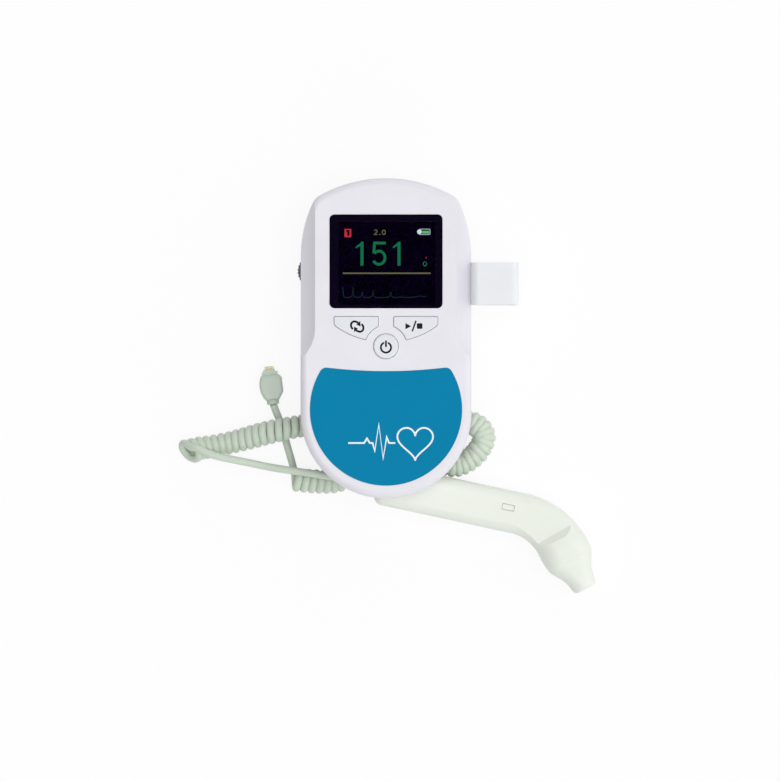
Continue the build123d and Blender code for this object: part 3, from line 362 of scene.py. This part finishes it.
def ribbon(points, width, closed=False):
    """The two edges of a flat stroke of even width along 2-D points, mitred at its corners."""
    points = [Vector(point) for point in points]
    count = len(points)
    left, right = [], []
    for index, point in enumerate(points):
        before = points[index - 1] if closed or index else None
        after = points[(index + 1) % count] if closed or index < count - 1 else None
        into = (point - before if before is not None else after - point).normalized()
        out = (after - point).normalized() if after is not None else into
        square = Vector((-into.y, into.x))
        normal = Vector((-(into.y + out.y), into.x + out.x))
        normal = normal.normalized() if normal.length > 1e-9 else square
        reach = width / 2 / max(MITRE_LIMIT, normal.dot(square))
        left.append(point + normal * reach)
        right.append(point - normal * reach)
    return left, right


class Print:
    """Flat printed marks at one height, gathered into one thin piece, in millimetres."""

    def __init__(self, height_mm, thickness_mm=0.03):
        self.mesh = bmesh.new()
        self.height = height_mm * MM
        self.thickness = thickness_mm * MM

    def lift(self, rise_mm):
        """What is drawn from here on lies a little higher, where it overlaps what is there."""
        self.height += rise_mm * MM

    def rows(self, points):
        """The vertices over some points, at the underside and at the top."""
        levels = (self.height, self.height + self.thickness)
        return [[self.mesh.verts.new((x * MM, y * MM, z)) for x, y in points] for z in levels]

    def area(self, points):
        """A filled outline."""
        low, high = self.rows(points)
        self.mesh.faces.new(high)
        self.mesh.faces.new(low[::-1])
        for index in range(len(points)):
            after = (index + 1) % len(points)
            self.mesh.faces.new((low[index], low[after], high[after], high[index]))

    def stroke(self, points, width, closed=False, round_ends=False):
        """A line of even width along points."""
        left, right = ribbon(points, width, closed)
        left_low, left_high = self.rows(left)
        right_low, right_high = self.rows(right)
        count = len(points)
        for here in range(count if closed else count - 1):
            after = (here + 1) % count
            for face in (
                (left_high[here], right_high[here], right_high[after], left_high[after]),
                (left_low[after], right_low[after], right_low[here], left_low[here]),
                (left_low[here], left_high[here], left_high[after], left_low[after]),
                (right_low[after], right_high[after], right_high[here], right_low[here]),
            ):
                self.mesh.faces.new(face)
        if closed:
            return
        start = (left_low[0], left_high[0], left[0]), (right_low[0], right_high[0], right[0])
        end = (right_low[-1], right_high[-1], right[-1]), (left_low[-1], left_high[-1], left[-1])
        self.cap(*start, round_ends)
        self.cap(*end, round_ends)

    def cap(self, first, last, round_end):
        """A stroke's end, between two corners, each a low vertex, a high one and their point."""
        lows, highs = [first[0]], [first[1]]
        if round_end:
            middle, arm = (first[2] + last[2]) / 2, (first[2] - last[2]) / 2
            for step in range(1, CAP_STEPS):
                turned = middle + Matrix.Rotation(math.pi * step / CAP_STEPS, 2) @ arm
                low, high = self.rows([turned])
                lows += low
                highs += high
        lows.append(last[0])
        highs.append(last[1])
        for here in range(len(lows) - 1):
            self.mesh.faces.new((lows[here], lows[here + 1], highs[here + 1], highs[here]))
        if round_end:
            self.mesh.faces.new(highs)
            self.mesh.faces.new(lows[::-1])

    def disc(self, centre, radius, sides=24):
        """A filled circle."""
        self.area(arc(centre, radius, 0, 360, sides)[:-1])

    def piece(self, name, material, slot, body):
        """The finished piece, which rides on a body."""
        bmesh.ops.recalc_face_normals(self.mesh, faces=self.mesh.faces)
        mesh = bpy.data.meshes.new(name)
        self.mesh.to_mesh(mesh)
        self.mesh.free()
        return placed(name, mesh, material, body)


def smoothed(points, steps=6):
    """More points on a smooth curve through the given ones."""
    points = [Vector(point) for point in points]
    ends = [points[0] * 2 - points[1]] + points + [points[-1] * 2 - points[-2]]
    found = [points[0]]
    for a, b, c, d in zip(ends, ends[1:], ends[2:], ends[3:]):
        for step in range(1, steps + 1):
            t = step / steps
            squared, cubed = 2 * a - 5 * b + 4 * c - d, 3 * b - a - 3 * c + d
            found.append((2 * b + (c - a) * t + squared * t * t + cubed * t**3) / 2)
    return found


def arc(centre, radius, start, end, steps=24, squeeze=1.0):
    """Points along an arc, with angles in degrees; squeeze narrows it across."""
    points = []
    for step in range(steps + 1):
        angle = math.radians(start + (end - start) * step / steps)
        across, up = squeeze * radius * math.cos(angle), radius * math.sin(angle)
        points.append((centre[0] + across, centre[1] + up))
    return points


def rounded(low, high, radius, steps=8):
    """The outline of a rectangle with round corners, anticlockwise."""
    centres = [
        (high[0] - radius, high[1] - radius),
        (low[0] + radius, high[1] - radius),
        (low[0] + radius, low[1] + radius),
        (high[0] - radius, low[1] + radius),
    ]
    points = []
    for corner, centre in enumerate(centres):
        points += arc(centre, radius, 90 * corner, 90 * corner + 90, steps)
    return points


# ---- Cord ----------------------------------------------------------------------------------------

CORD_DIAMETER_MM = 3.2
COIL_LINE_RADIUS_MM = 3.5
COIL_PITCH_MM = 3.3
# In the coil the strand is a little fuller, and wound a little tighter than its line radius
COIL_FULLER_MM = 0.07
COIL_TIGHTER_MM = 0.1

# Points along each length of the strand, and round it, from a direction that no length follows
LEAD_POINTS = 90
PLUG_POINTS = 44
TURN_POINTS = 22
TUBE_SIDES = 14
TUBE_SIDEWAYS = Vector((0.3, 0.2, 1)).normalized()

# The joins between the coil and the straight leads: steps, and how far each end's direction holds
PLUG_JOIN_POINTS, PLUG_JOIN_REACH_MM = 6, 2.0
LEAD_JOIN_POINTS, LEAD_JOIN_REACH_MM = 8, 4.6

# The routes of the CAD tubes, within two millimetres
BOOT_FACE_MM = (-7.91, -75.46, 8.25)
LEAD_ROUTE_MM = [
    (-80.2, -61.6, 11.3),
    (-74.6, -64.4, 12.0),
    (-66.2, -66.2, 10.6),
    (-57.7, -67.9, 9.6),
    (-49.3, -69.7, 9.9),
    (-40.8, -71.0, 11.3),
    (-32.3, -72.2, 12.2),
    (-23.5, -73.6, 12.4),
    (-15.6, -74.5, 11.6),
    BOOT_FACE_MM,
]
LYING_MM = 5.1
COIL_ROUTE_MM = [
    (-38.8, -75.1, LYING_MM),
    (-29.0, -76.0, LYING_MM),
    (-20.4, -76.0, LYING_MM),
    (-15.9, -73.0, LYING_MM),
    (-13.6, -68.4, LYING_MM),
    (-9.6, -63.7, LYING_MM),
    (-3.9, -61.5, LYING_MM),
    (4.0, -61.4, LYING_MM),
    (12.8, -63.3, LYING_MM),
    (21.0, -66.6, LYING_MM),
    (28.2, -69.6, LYING_MM),
    (33.2, -68.1, LYING_MM),
    (37.6, -64.9, LYING_MM),
    (40.6, -61.0, LYING_MM),
    (42.1, -57.5, LYING_MM),
    (41.4, -54.4, LYING_MM),
    (39.2, -52.1, LYING_MM),
    (35.9, -50.5, LYING_MM),
    (29.6, -49.6, LYING_MM),
    (16.5, -49.7, LYING_MM),
    (-4.0, -50.5, LYING_MM),
    (-21.0, -50.8, LYING_MM),
    (-31.5, -51.3, 6.4),
    (-40.0, -52.7, 9.2),
    (-48.6, -54.5, 9.2),
    (-57.0, -56.8, 6.6),
    (-66.0, -59.2, LYING_MM),
    (-74.6, -61.0, LYING_MM),
    (-80.5, -61.6, 5.3),
    (-84.5, -63.3, 6.0),
]
PLUG_ROUTE_MM = [
    (-48.1, -42.9, 3.6),
    (-46.8, -46.4, 2.4),
    (-45.0, -50.8, 1.65),
    (-43.6, -55.6, 1.6),
    (-42.2, -60.6, 1.6),
    (-40.8, -65.4, 1.6),
    (-39.6, -69.7, 1.6),
    (-38.9, -73.4, 1.6),
]


def smooth_line(name, route_mm):
    """The points of the route's NURBS spline, in millimetres."""
    data = bpy.data.curves.new(name, "CURVE")
    data.dimensions = "3D"
    data.resolution_u = 16
    spline = data.splines.new("NURBS")
    spline.points.add(len(route_mm) - 1)
    for point, place in zip(spline.points, route_mm):
        point.co = (*[value * MM for value in place], 1.0)
    spline.order_u = 3
    spline.use_endpoint_u = True
    holder = bpy.data.objects.new(name, data)
    scene.collection.objects.link(holder)
    bpy.context.view_layer.update()
    mesh = bpy.data.meshes.new_from_object(holder)
    points = [vertex.co / MM for vertex in mesh.vertices]
    bpy.data.objects.remove(holder)
    bpy.data.meshes.remove(mesh)
    return points


def spaced(points, count):
    """The same line with count evenly spaced points."""
    distances = [0.0]
    for before, after in zip(points, points[1:]):
        distances.append(distances[-1] + (after - before).length)
    found, index = [], 0
    for step in range(count):
        target = distances[-1] * step / (count - 1)
        while index < len(points) - 2 and distances[index + 1] < target:
            index += 1
        run = distances[index + 1] - distances[index]
        found.append(points[index].lerp(points[index + 1], (target - distances[index]) / run))
    return found


def line_length(points):
    """How long a line is."""
    return sum((after - before).length for before, after in zip(points, points[1:]))


def carried_frames(points, side):
    """Two directions across a line at each of its points, carried along it without twisting."""
    frames = []
    for index in range(len(points)):
        before, after = points[max(0, index - 1)], points[min(len(points) - 1, index + 1)]
        along = (after - before).normalized()
        side = (side - along * side.dot(along)).normalized()
        frames.append((side, along.cross(side)))
    return frames


def eased(first, second, count, reach):
    """Points of a smooth join between the end of one line and the start of another."""
    start, end = first[-1], second[0]
    leave = (start - first[-2]).normalized() * reach
    arrive = (second[1] - end).normalized() * reach
    joined = []
    for step in range(1, count):
        t = step / count
        joined.append(
            start * (2 * t**3 - 3 * t**2 + 1)
            + leave * (t**3 - 2 * t**2 + t)
            + end * (3 * t**2 - 2 * t**3)
            + arrive * (t**3 - t**2)
        )
    return joined


def eased_share(share):
    """0 to 1, starting and ending gently."""
    share = min(1.0, max(0.0, share))
    return share * share * (3 - 2 * share)


# The coil's line goes in short steps. Its bends and its direction are taken over some to each side
COIL_STEP_MM = 0.15
BEND_SPAN = 24
ALONG_SPAN = 6

# In a bend the turns lie closer, and ride over each other inside, fully where it bends by BEND_FULL
BEND_CLOSING = 1.25
BEND_STAGGER_MM = 1.0
BEND_FULL = 0.3

# The radius is a little uneven: the size, rate and start of two slow waves
WOBBLES = ((0.1, 0.031, 0.0), (0.07, 0.0173, 1.0))

# Towards its end the coil leans back and round, then opens, and it stops part of the way round
LEAN_TURNS = 7.0
LEAN_BACK = math.tan(math.radians(24))
LEAN_ROUND = math.tan(math.radians(24))
END_TURNS = 5.0
END_ROUND = math.tan(math.radians(11))
OPEN_TURNS = 1.6
OPEN_RADIUS_MM = 4.2
COIL_END_SHARE = 150 / 360


def wind(line):
    """How much a line bends at each point, and the turns that a coil round it has made by there."""
    last = len(line) - 1
    bends, turned = [], [0.0]
    for index, middle in enumerate(line):
        into = middle - line[max(0, index - BEND_SPAN)]
        out = line[min(last, index + BEND_SPAN)] - middle
        bend = 0.0
        if into.length and out.length:
            turning = into.normalized().cross(out.normalized()).z
            bend = 2 * turning / (into.length + out.length) * COIL_LINE_RADIUS_MM
        bends.append(bend)
        closing = 1 + BEND_CLOSING * abs(bend)
        turned.append(turned[-1] + COIL_STEP_MM * closing / COIL_PITCH_MM)
    return bends, turned


def helix(points):
    """The strand's line round the coil's line, left-handed, from its underside on."""
    count = int(line_length(points) / COIL_STEP_MM)
    line = spaced(points, count)
    up = Vector((0, 0, 1))
    bends, turned = wind(line)
    turns = round(turned[count - 1]) + COIL_END_SHARE
    scale = turns / turned[count - 1]
    wound, index = [], 0
    for sample in range(int(turns * TURN_POINTS) + 1):
        turn = sample / TURN_POINTS
        while index < count - 2 and turned[index + 1] * scale < turn:
            index += 1
        share = (turn / scale - turned[index]) / (turned[index + 1] - turned[index])
        centre = line[index].lerp(line[index + 1], min(1.0, share))
        ahead, behind = min(count - 1, index + ALONG_SPAN), max(0, index - ALONG_SPAN)
        along = (line[ahead] - line[behind]).normalized()
        side = (up - along * along.z).normalized()
        across = along.cross(side)
        angle = -math.pi - turn * math.tau

        opening = eased_share(1 - (turns - turn) / OPEN_TURNS)
        leaning = eased_share(1 - (turns - turn) / LEAN_TURNS)
        ending = eased_share(1 - (turns - turn) / END_TURNS)
        lean_round = LEAN_ROUND + (END_ROUND - LEAN_ROUND) * ending
        wobble = sum(size * math.sin(sample * rate + start) for size, rate, start in WOBBLES)
        radius = COIL_LINE_RADIUS_MM - COIL_TIGHTER_MM + wobble * (1 - opening)
        radius += (OPEN_RADIUS_MM - radius) * opening

        leftwards = bends[index] > 0
        inner = -math.pi / 2 if leftwards else math.pi / 2
        phase = math.pi / 4 if leftwards else 3 * math.pi / 4
        bending = min(1.0, abs(bends[index]) / BEND_FULL)
        stagger = BEND_STAGGER_MM * bending * max(0.0, math.cos(angle - inner))
        lean = lean_round * math.sin(angle) - LEAN_BACK * math.cos(angle)
        wound.append(
            centre
            + side * (radius * math.cos(angle) + stagger * math.cos(angle / 2 + phase))
            + across * (radius * math.sin(angle))
            + along * (radius * leaning * lean)
        )
    return wound


def tube(name, line_mm, radii_mm, material, body):
    """A round tube along a line, with a radius at each point, closed at both ends."""
    frames = carried_frames(line_mm, TUBE_SIDEWAYS)
    vertices, faces = [], []
    for point, radius_mm, (side, across) in zip(line_mm, radii_mm, frames):
        for turn in range(TUBE_SIDES):
            angle = turn * math.tau / TUBE_SIDES
            offset = side * (radius_mm * math.cos(angle)) + across * (radius_mm * math.sin(angle))
            vertices.append((point + offset) * MM)
    last = (len(line_mm) - 1) * TUBE_SIDES
    for base in range(0, last, TUBE_SIDES):
        above = base + TUBE_SIDES
        for turn in range(TUBE_SIDES):
            after = (turn + 1) % TUBE_SIDES
            faces.append((base + turn, base + after, above + after, above + turn))
    faces.append(tuple(range(TUBE_SIDES))[::-1])
    faces.append(tuple(range(last, last + TUBE_SIDES)))
    return new_object(name, vertices, faces, material, body, smooth=True)


lead_line = spaced(smooth_line("lead_route", LEAD_ROUTE_MM), LEAD_POINTS)
plug_line = spaced(smooth_line("plug_route", PLUG_ROUTE_MM), PLUG_POINTS)
coil_strand = helix(smooth_line("coil_route", COIL_ROUTE_MM))
plug_join = eased(plug_line, coil_strand, PLUG_JOIN_POINTS, PLUG_JOIN_REACH_MM)
lead_join = eased(coil_strand, lead_line, LEAD_JOIN_POINTS, LEAD_JOIN_REACH_MM)
cord_line = plug_line + plug_join + coil_strand + lead_join + lead_line
coil_from = len(plug_line + plug_join)
coil_to = coil_from + len(coil_strand)
cord_radii = []
for index in range(len(cord_line)):
    inside = min(index - coil_from, coil_to - index) / TURN_POINTS
    cord_radii.append(CORD_DIAMETER_MM / 2 + COIL_FULLER_MM * eased_share(inside))
# The cord runs from the probe's boot to the plug
cord_line.reverse()
cord_radii.reverse()
cord = tube("cord", cord_line, cord_radii, cord_green, "probe")
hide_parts("probe_lead", "curly_cord", "plug_lead")


# ---- Display -------------------------------------------------------------------------------------

window_low_mm, window_high_mm = [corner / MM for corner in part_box("display_window")]
module_top_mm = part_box("display_module")[1].z / MM
WINDOW_CORNER_MM = 2.2
ACTIVE_LOW_MM, ACTIVE_HIGH_MM = (-20.1, -0.8), (20.9, 34.0)
ACTIVE_CORNER_MM = 1.0
# The border's gap inside the window's edge, over the window's back, and over the display
BORDER_INSET_MM = 0.06
BORDER_LIFT_MM = 0.04
BORDER_FOOT_MM = 0.06

# The dark border is printed on the back of the clear window, and turns down to the display inside
outer = rounded(
    (window_low_mm.x + BORDER_INSET_MM, window_low_mm.y + BORDER_INSET_MM),
    (window_high_mm.x - BORDER_INSET_MM, window_high_mm.y - BORDER_INSET_MM),
    WINDOW_CORNER_MM,
)
inner = rounded(ACTIVE_LOW_MM, ACTIVE_HIGH_MM, ACTIVE_CORNER_MM)
border_z_mm = window_low_mm.z + BORDER_LIFT_MM
levels = [
    (outer, border_z_mm),
    (inner, border_z_mm),
    (inner, module_top_mm + BORDER_FOOT_MM),
]
vertices = [mm(x, y, z) for outline, z in levels for x, y in outline]
faces = []
for base in (0, len(outer)):
    above = base + len(outer)
    for index in range(len(outer)):
        after = (index + 1) % len(outer)
        faces.append((base + index, base + after, above + after, above + index))
new_object("window_border", vertices, faces, window_print, "housing")

# The display's marks lie on its face, and a mark that lies over another is a little higher
GRAPHIC_LIFT_MM = 0.02
LEVEL_STEP_MM = 0.01
UPPER_STEP_MM = 0.04
graphic_z_mm = module_top_mm + GRAPHIC_LIFT_MM
green = glowing("lcd_green", srgb(20, 110, 74))
red = glowing("lcd_red", srgb(186, 48, 60))
olive = glowing("lcd_olive", srgb(102, 100, 74))
teal = glowing("lcd_teal", srgb(30, 62, 62))
pale = glowing("lcd_pale", srgb(206, 222, 230))

DIGIT_LOW_MM, DIGIT_TOP_MM = 15.6, 25.7
DIGIT_LINE_MM = 1.15
FIVE_LEFT_MM, FIVE_RIGHT_MM = -6.0, 0.2
BOWL_CENTRE_MM, BOWL_RADIUS_MM = (-2.95, 18.95), 2.78
SMALL_LINE_MM = 0.35
NUMBER_LINE_MM = 0.34
RULE_LINE_MM = 0.6
WAVE_LINE_MM = 0.17
BATTERY_LINE_MM = 0.18
BASELINE_MM = 2.2


def digit_one(marks, stem):
    """A tall narrow one with a flag."""
    low, top = DIGIT_LOW_MM, DIGIT_TOP_MM
    left, right = stem - 0.55, stem + 0.75
    marks.area([(left, low), (right, low), (right, top), (stem - 0.25, top), (left, top - 0.6)])
    tip = stem - 2.5
    marks.area([(stem - 0.5, top - 0.5), (left, top - 1.8), (tip, top - 2.8), (tip, top - 2.1)])


def digit_five(marks):
    """A tall narrow five: a bar, a short stem and a bowl."""
    left, right, top = FIVE_LEFT_MM, FIVE_RIGHT_MM, DIGIT_TOP_MM
    bar = top - DIGIT_LINE_MM / 2
    marks.stroke([(left + 0.7, bar), (right - 0.3, bar)], DIGIT_LINE_MM)
    marks.stroke([(left + 1.2, top - 0.1), (left + 0.85, top - 4.9)], DIGIT_LINE_MM)
    squeeze = (right - left - DIGIT_LINE_MM) / 2 / BOWL_RADIUS_MM
    marks.stroke(arc(BOWL_CENTRE_MM, BOWL_RADIUS_MM, 140, -152, 36, squeeze), DIGIT_LINE_MM)


marks = Print(graphic_z_mm)
digit_one(marks, -10.2)
digit_five(marks)
digit_one(marks, 5.4)
marks.stroke(arc((16.4, 16.4), 0.9, 60, 400, 12, 0.8), SMALL_LINE_MM)
marks.piece("lcd_reading", green, "display_glass", "housing")

marks = Print(graphic_z_mm)
marks.area([(-17.5, 27.6), (-14.6, 27.6), (-14.6, 31.1), (-17.5, 31.1)])
marks.stroke([(16.8, 18.6), (17.1, 19.2)], SMALL_LINE_MM)
marks.piece("lcd_red_box", red, "display_glass", "housing")

marks = Print(graphic_z_mm + UPPER_STEP_MM)
marks.area(
    [(-16.3, 28.2), (-15.4, 28.2), (-15.4, 30.6), (-16.8, 30.6), (-16.8, 29.9), (-16.3, 29.9)]
)
marks.piece("lcd_box_number", display_dark, "display_glass", "housing")

# A rule under the reading, and a small generic number over it
marks = Print(graphic_z_mm)
marks.stroke([(-18.2, 12.4), (18.8, 12.4)], RULE_LINE_MM)
marks.stroke(arc((-4.3, 30.1), 0.6, 160, -20, 8) + [(-4.9, 28.75), (-3.6, 28.75)], NUMBER_LINE_MM)
marks.disc((-2.6, 28.75), 0.24)
marks.stroke(arc((-0.9, 29.65), 0.95, 0, 345, 20, 0.7), NUMBER_LINE_MM, closed=True)
marks.piece("lcd_olive_marks", olive, "display_glass", "housing")

# A wave: each beat rises from the baseline to its own height
wave = [(-18.2, 6.6), (-17.9, 2.9), (-17.2, BASELINE_MM)]
for centre, height in ((-13.8, 4.6), (-10.0, 2.3), (-5.4, 3.0), (2.0, 2.4)):
    for along, rise in ((-1.6, 0.0), (-0.5, 0.5), (0.0, height), (0.4, 0.4), (1.4, 0.0)):
        wave.append((centre + along, BASELINE_MM + rise))
for x, rise in ((6.0, 0.2), (9.5, 0.0), (13.0, 0.3), (14.6, 0.7), (15.6, 0.3), (17.0, 0.6)):
    wave.append((x, BASELINE_MM + rise))
marks = Print(graphic_z_mm)
marks.stroke(wave, WAVE_LINE_MM)
marks.piece("lcd_wave", teal, "display_glass", "housing")

marks = Print(graphic_z_mm)
marks.stroke(rounded((14.0, 28.7), (18.6, 31.0), 0.5, 4), BATTERY_LINE_MM, closed=True)
marks.piece("lcd_battery_outline", pale, "display_glass", "housing")
marks = Print(graphic_z_mm + UPPER_STEP_MM)
marks.disc((14.1, 29.85), 1.0)
marks.piece("lcd_battery_cap", pale, "display_glass", "housing")
marks = Print(graphic_z_mm + LEVEL_STEP_MM)
marks.area([(15.3, 29.1), (18.3, 29.1), (18.3, 30.3), (15.3, 30.3)])
bright_green = glowing("lcd_bright_green", srgb(92, 180, 110))
marks.piece("lcd_battery_level", bright_green, "display_glass", "housing")


# ---- Key signs -----------------------------------------------------------------------------------

PRINT_MM = 0.02
OVERLAP_MM = 0.006
key_top_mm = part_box("mode_button")[1].z / MM
power_top_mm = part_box("power_button")[1].z / MM

# Two arrows that chase each other round a tilted ring
RING_CENTRE_MM = Vector((-12.1, -10.1))
RING_BEND_MM = [
    (-1.83, -1.06),
    (-2.4, -0.35),
    (-2.6, 0.53),
    (-2.42, 1.4),
    (-1.75, 2.02),
    (-0.88, 2.15),
    (0.5, 1.6),
]
RING_HEAD_MM = [(1.3, 2.4), (-0.35, 0.8), (1.4, 0.05)]
RING_LINE_MM = 0.85
signs = Print(key_top_mm, PRINT_MM)
for turned in (1, -1):
    bend = [RING_CENTRE_MM + turned * point for point in smoothed(RING_BEND_MM)]
    signs.stroke(bend, RING_LINE_MM)
signs.lift(OVERLAP_MM)
for turned in (1, -1):
    signs.area([RING_CENTRE_MM + turned * Vector(point) for point in RING_HEAD_MM])
signs.piece("mode_sign", key_print, "key_white", "mode_key")

# A triangle, a slash and a square
SLASH_LINE_MM = 0.65
signs = Print(key_top_mm, PRINT_MM)
signs.area([(8.2, -8.65), (8.2, -11.2), (10.6, -9.93)])
signs.stroke([(11.05, -12.1), (12.65, -7.65)], SLASH_LINE_MM)
signs.area(rounded((13.0, -11.05), (15.35, -8.7), 0.4, 4))
signs.piece("play_stop_sign", key_print, "key_white", "play_stop_key")

# An open ring with a bar in its gap
POWER_RING_LINE_MM, POWER_BAR_LINE_MM = 0.8, 0.78
signs = Print(power_top_mm, PRINT_MM)
signs.stroke(arc((0.0, -18.9), 2.14, 120, 420, 36), POWER_RING_LINE_MM, round_ends=True)
signs.stroke([(0.0, -16.3), (0.0, -18.4)], POWER_BAR_LINE_MM, round_ends=True)
signs.piece("power_sign", key_print, "key_white", "power_key")


# ---- Print on the blue panel ---------------------------------------------------------------------

# A generic pulse line that ends in front of a plain heart outline
panel_top_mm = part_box("front_panel")[1].z / MM
ART_LINE_MM = 0.72
PULSE_Y_MM = -59.1
PULSE_MM = [
    (-15.6, PULSE_Y_MM),
    (-9.2, PULSE_Y_MM),
    (-8.0, -57.2),
    (-6.8, PULSE_Y_MM),
    (-5.6, PULSE_Y_MM),
    (-4.7, -62.4),
    (-3.0, -51.2),
    (-1.2, -65.6),
    (0.3, -56.6),
    (1.3, PULSE_Y_MM),
    (3.6, PULSE_Y_MM),
]
HEART_CENTRE_MM = (12.3, -58.3)
HEART_UNIT_MM = 0.47
HEART_STEPS = 48
heart = []
for step in range(HEART_STEPS + 1):
    t = math.tau * step / HEART_STEPS
    across = 16 * math.sin(t) ** 3
    up = 13 * math.cos(t) - 5 * math.cos(2 * t) - 2 * math.cos(3 * t) - math.cos(4 * t)
    heart.append(
        (HEART_CENTRE_MM[0] + across * HEART_UNIT_MM, HEART_CENTRE_MM[1] + up * HEART_UNIT_MM)
    )
art = Print(panel_top_mm, PRINT_MM)
art.stroke(PULSE_MM, ART_LINE_MM, round_ends=True)
for half in (heart[: HEART_STEPS // 2 + 1], heart[HEART_STEPS // 2 :]):
    art.lift(OVERLAP_MM)
    art.stroke(half, ART_LINE_MM, round_ends=True)
art.piece("panel_line_art", panel_print, "panel_blue", "housing")


# ---- Stage and light -----------------------------------------------------------------------------

FLOOR_HALF = 6.0
FLOOR_DROP_MM = 0.05
FLOOR_GREY = 0.86
FLOOR_GLOW = 0.88
SKY_COLOUR = (0.985, 0.99, 1.0, 1.0)
SKY_SHARE = 0.355


def grey(value):
    """A neutral linear colour."""
    return (value, value, value, 1.0)


def seen_ray(tree):
    """1 for what the camera sees itself, in a mirror or through the window, and 0 for the rest."""
    path = tree.nodes.new("ShaderNodeLightPath")
    seen = path.outputs["Is Camera Ray"]
    for kind in ("Is Glossy Ray", "Is Transmission Ray"):
        wider = tree.nodes.new("ShaderNodeMath")
        wider.operation = "MAXIMUM"
        tree.links.new(seen, wider.inputs[0])
        tree.links.new(path.outputs[kind], wider.inputs[1])
        seen = wider.outputs["Value"]
    return seen


def either(tree, unseen, seen, output):
    """One shader where the camera doesn't see it, and another where it does."""
    choose = tree.nodes.new("ShaderNodeMixShader")
    tree.links.new(seen_ray(tree), choose.inputs["Fac"])
    tree.links.new(unseen, choose.inputs[1])
    tree.links.new(seen, choose.inputs[2])
    tree.links.new(choose.outputs["Shader"], output.inputs["Surface"])


# The floor glows near to white where it is seen, and is plain grey for the light that it returns
floor_material = bpy.data.materials.new("floor")
floor_material.use_nodes = True
tree = floor_material.node_tree
tree.nodes.clear()
plain = tree.nodes.new("ShaderNodeBsdfDiffuse")
plain.inputs["Color"].default_value = grey(FLOOR_GREY)
dull = tree.nodes.new("ShaderNodeBsdfDiffuse")
dull.inputs["Color"].default_value = grey(1.0 - FLOOR_GLOW)
glow = tree.nodes.new("ShaderNodeEmission")
glow.inputs["Strength"].default_value = FLOOR_GLOW
both = tree.nodes.new("ShaderNodeAddShader")
tree.links.new(dull.outputs["BSDF"], both.inputs[0])
tree.links.new(glow.outputs["Emission"], both.inputs[1])
output = tree.nodes.new("ShaderNodeOutputMaterial")
either(tree, plain.outputs["BSDF"], both.outputs["Shader"], output)

floor_mesh = bpy.data.meshes.new("floor")
corners = [(-1, -1), (1, -1), (1, 1), (-1, 1)]
floor_mesh.from_pydata(
    [(x * FLOOR_HALF, y * FLOOR_HALF, -FLOOR_DROP_MM * MM) for x, y in corners],
    [],
    [(0, 1, 2, 3)],
)
floor_mesh.materials.append(floor_material)
floor = bpy.data.objects.new("floor", floor_mesh)
scene.collection.objects.link(floor)

# The sky gives a soft light, and is white where it is seen
world = bpy.data.worlds.new("studio")
scene.world = world
world.use_nodes = True
tree = world.node_tree
sky = tree.nodes["Background"]
sky.inputs["Color"].default_value = SKY_COLOUR
sky.inputs["Strength"].default_value = SKY_SHARE
backdrop = tree.nodes.new("ShaderNodeBackground")
backdrop.inputs["Color"].default_value = grey(1.0)
backdrop.inputs["Strength"].default_value = 1.0
output = tree.nodes["World Output"]
either(tree, sky.outputs["Background"], backdrop.outputs["Background"], output)

# A broad key light from above, and low fills from the right and from both ends:
# name, where it comes from, its share of full white, and its breadth in degrees
LIGHTS = [
    ("key_light", (0.2, -0.05, 1.0), 0.39, 55),
    ("right_fill", (1.0, 0.0, 0.35), 0.19, 60),
    ("top_fill", (0.2, 1.0, 0.35), 0.18, 60),
    ("bottom_fill", (0.2, -1.0, 0.35), 0.18, 60),
]
for name, direction, share, breadth in LIGHTS:
    sun_data = bpy.data.lights.new(name, "SUN")
    sun_data.energy = share * math.pi
    sun_data.angle = math.radians(breadth)
    sun = bpy.data.objects.new(name, sun_data)
    scene.collection.objects.link(sun)
    sun.rotation_mode = "QUATERNION"
    sun.rotation_quaternion = Vector(direction).to_track_quat("Z", "Y")

scene.view_settings.view_transform = "Standard"
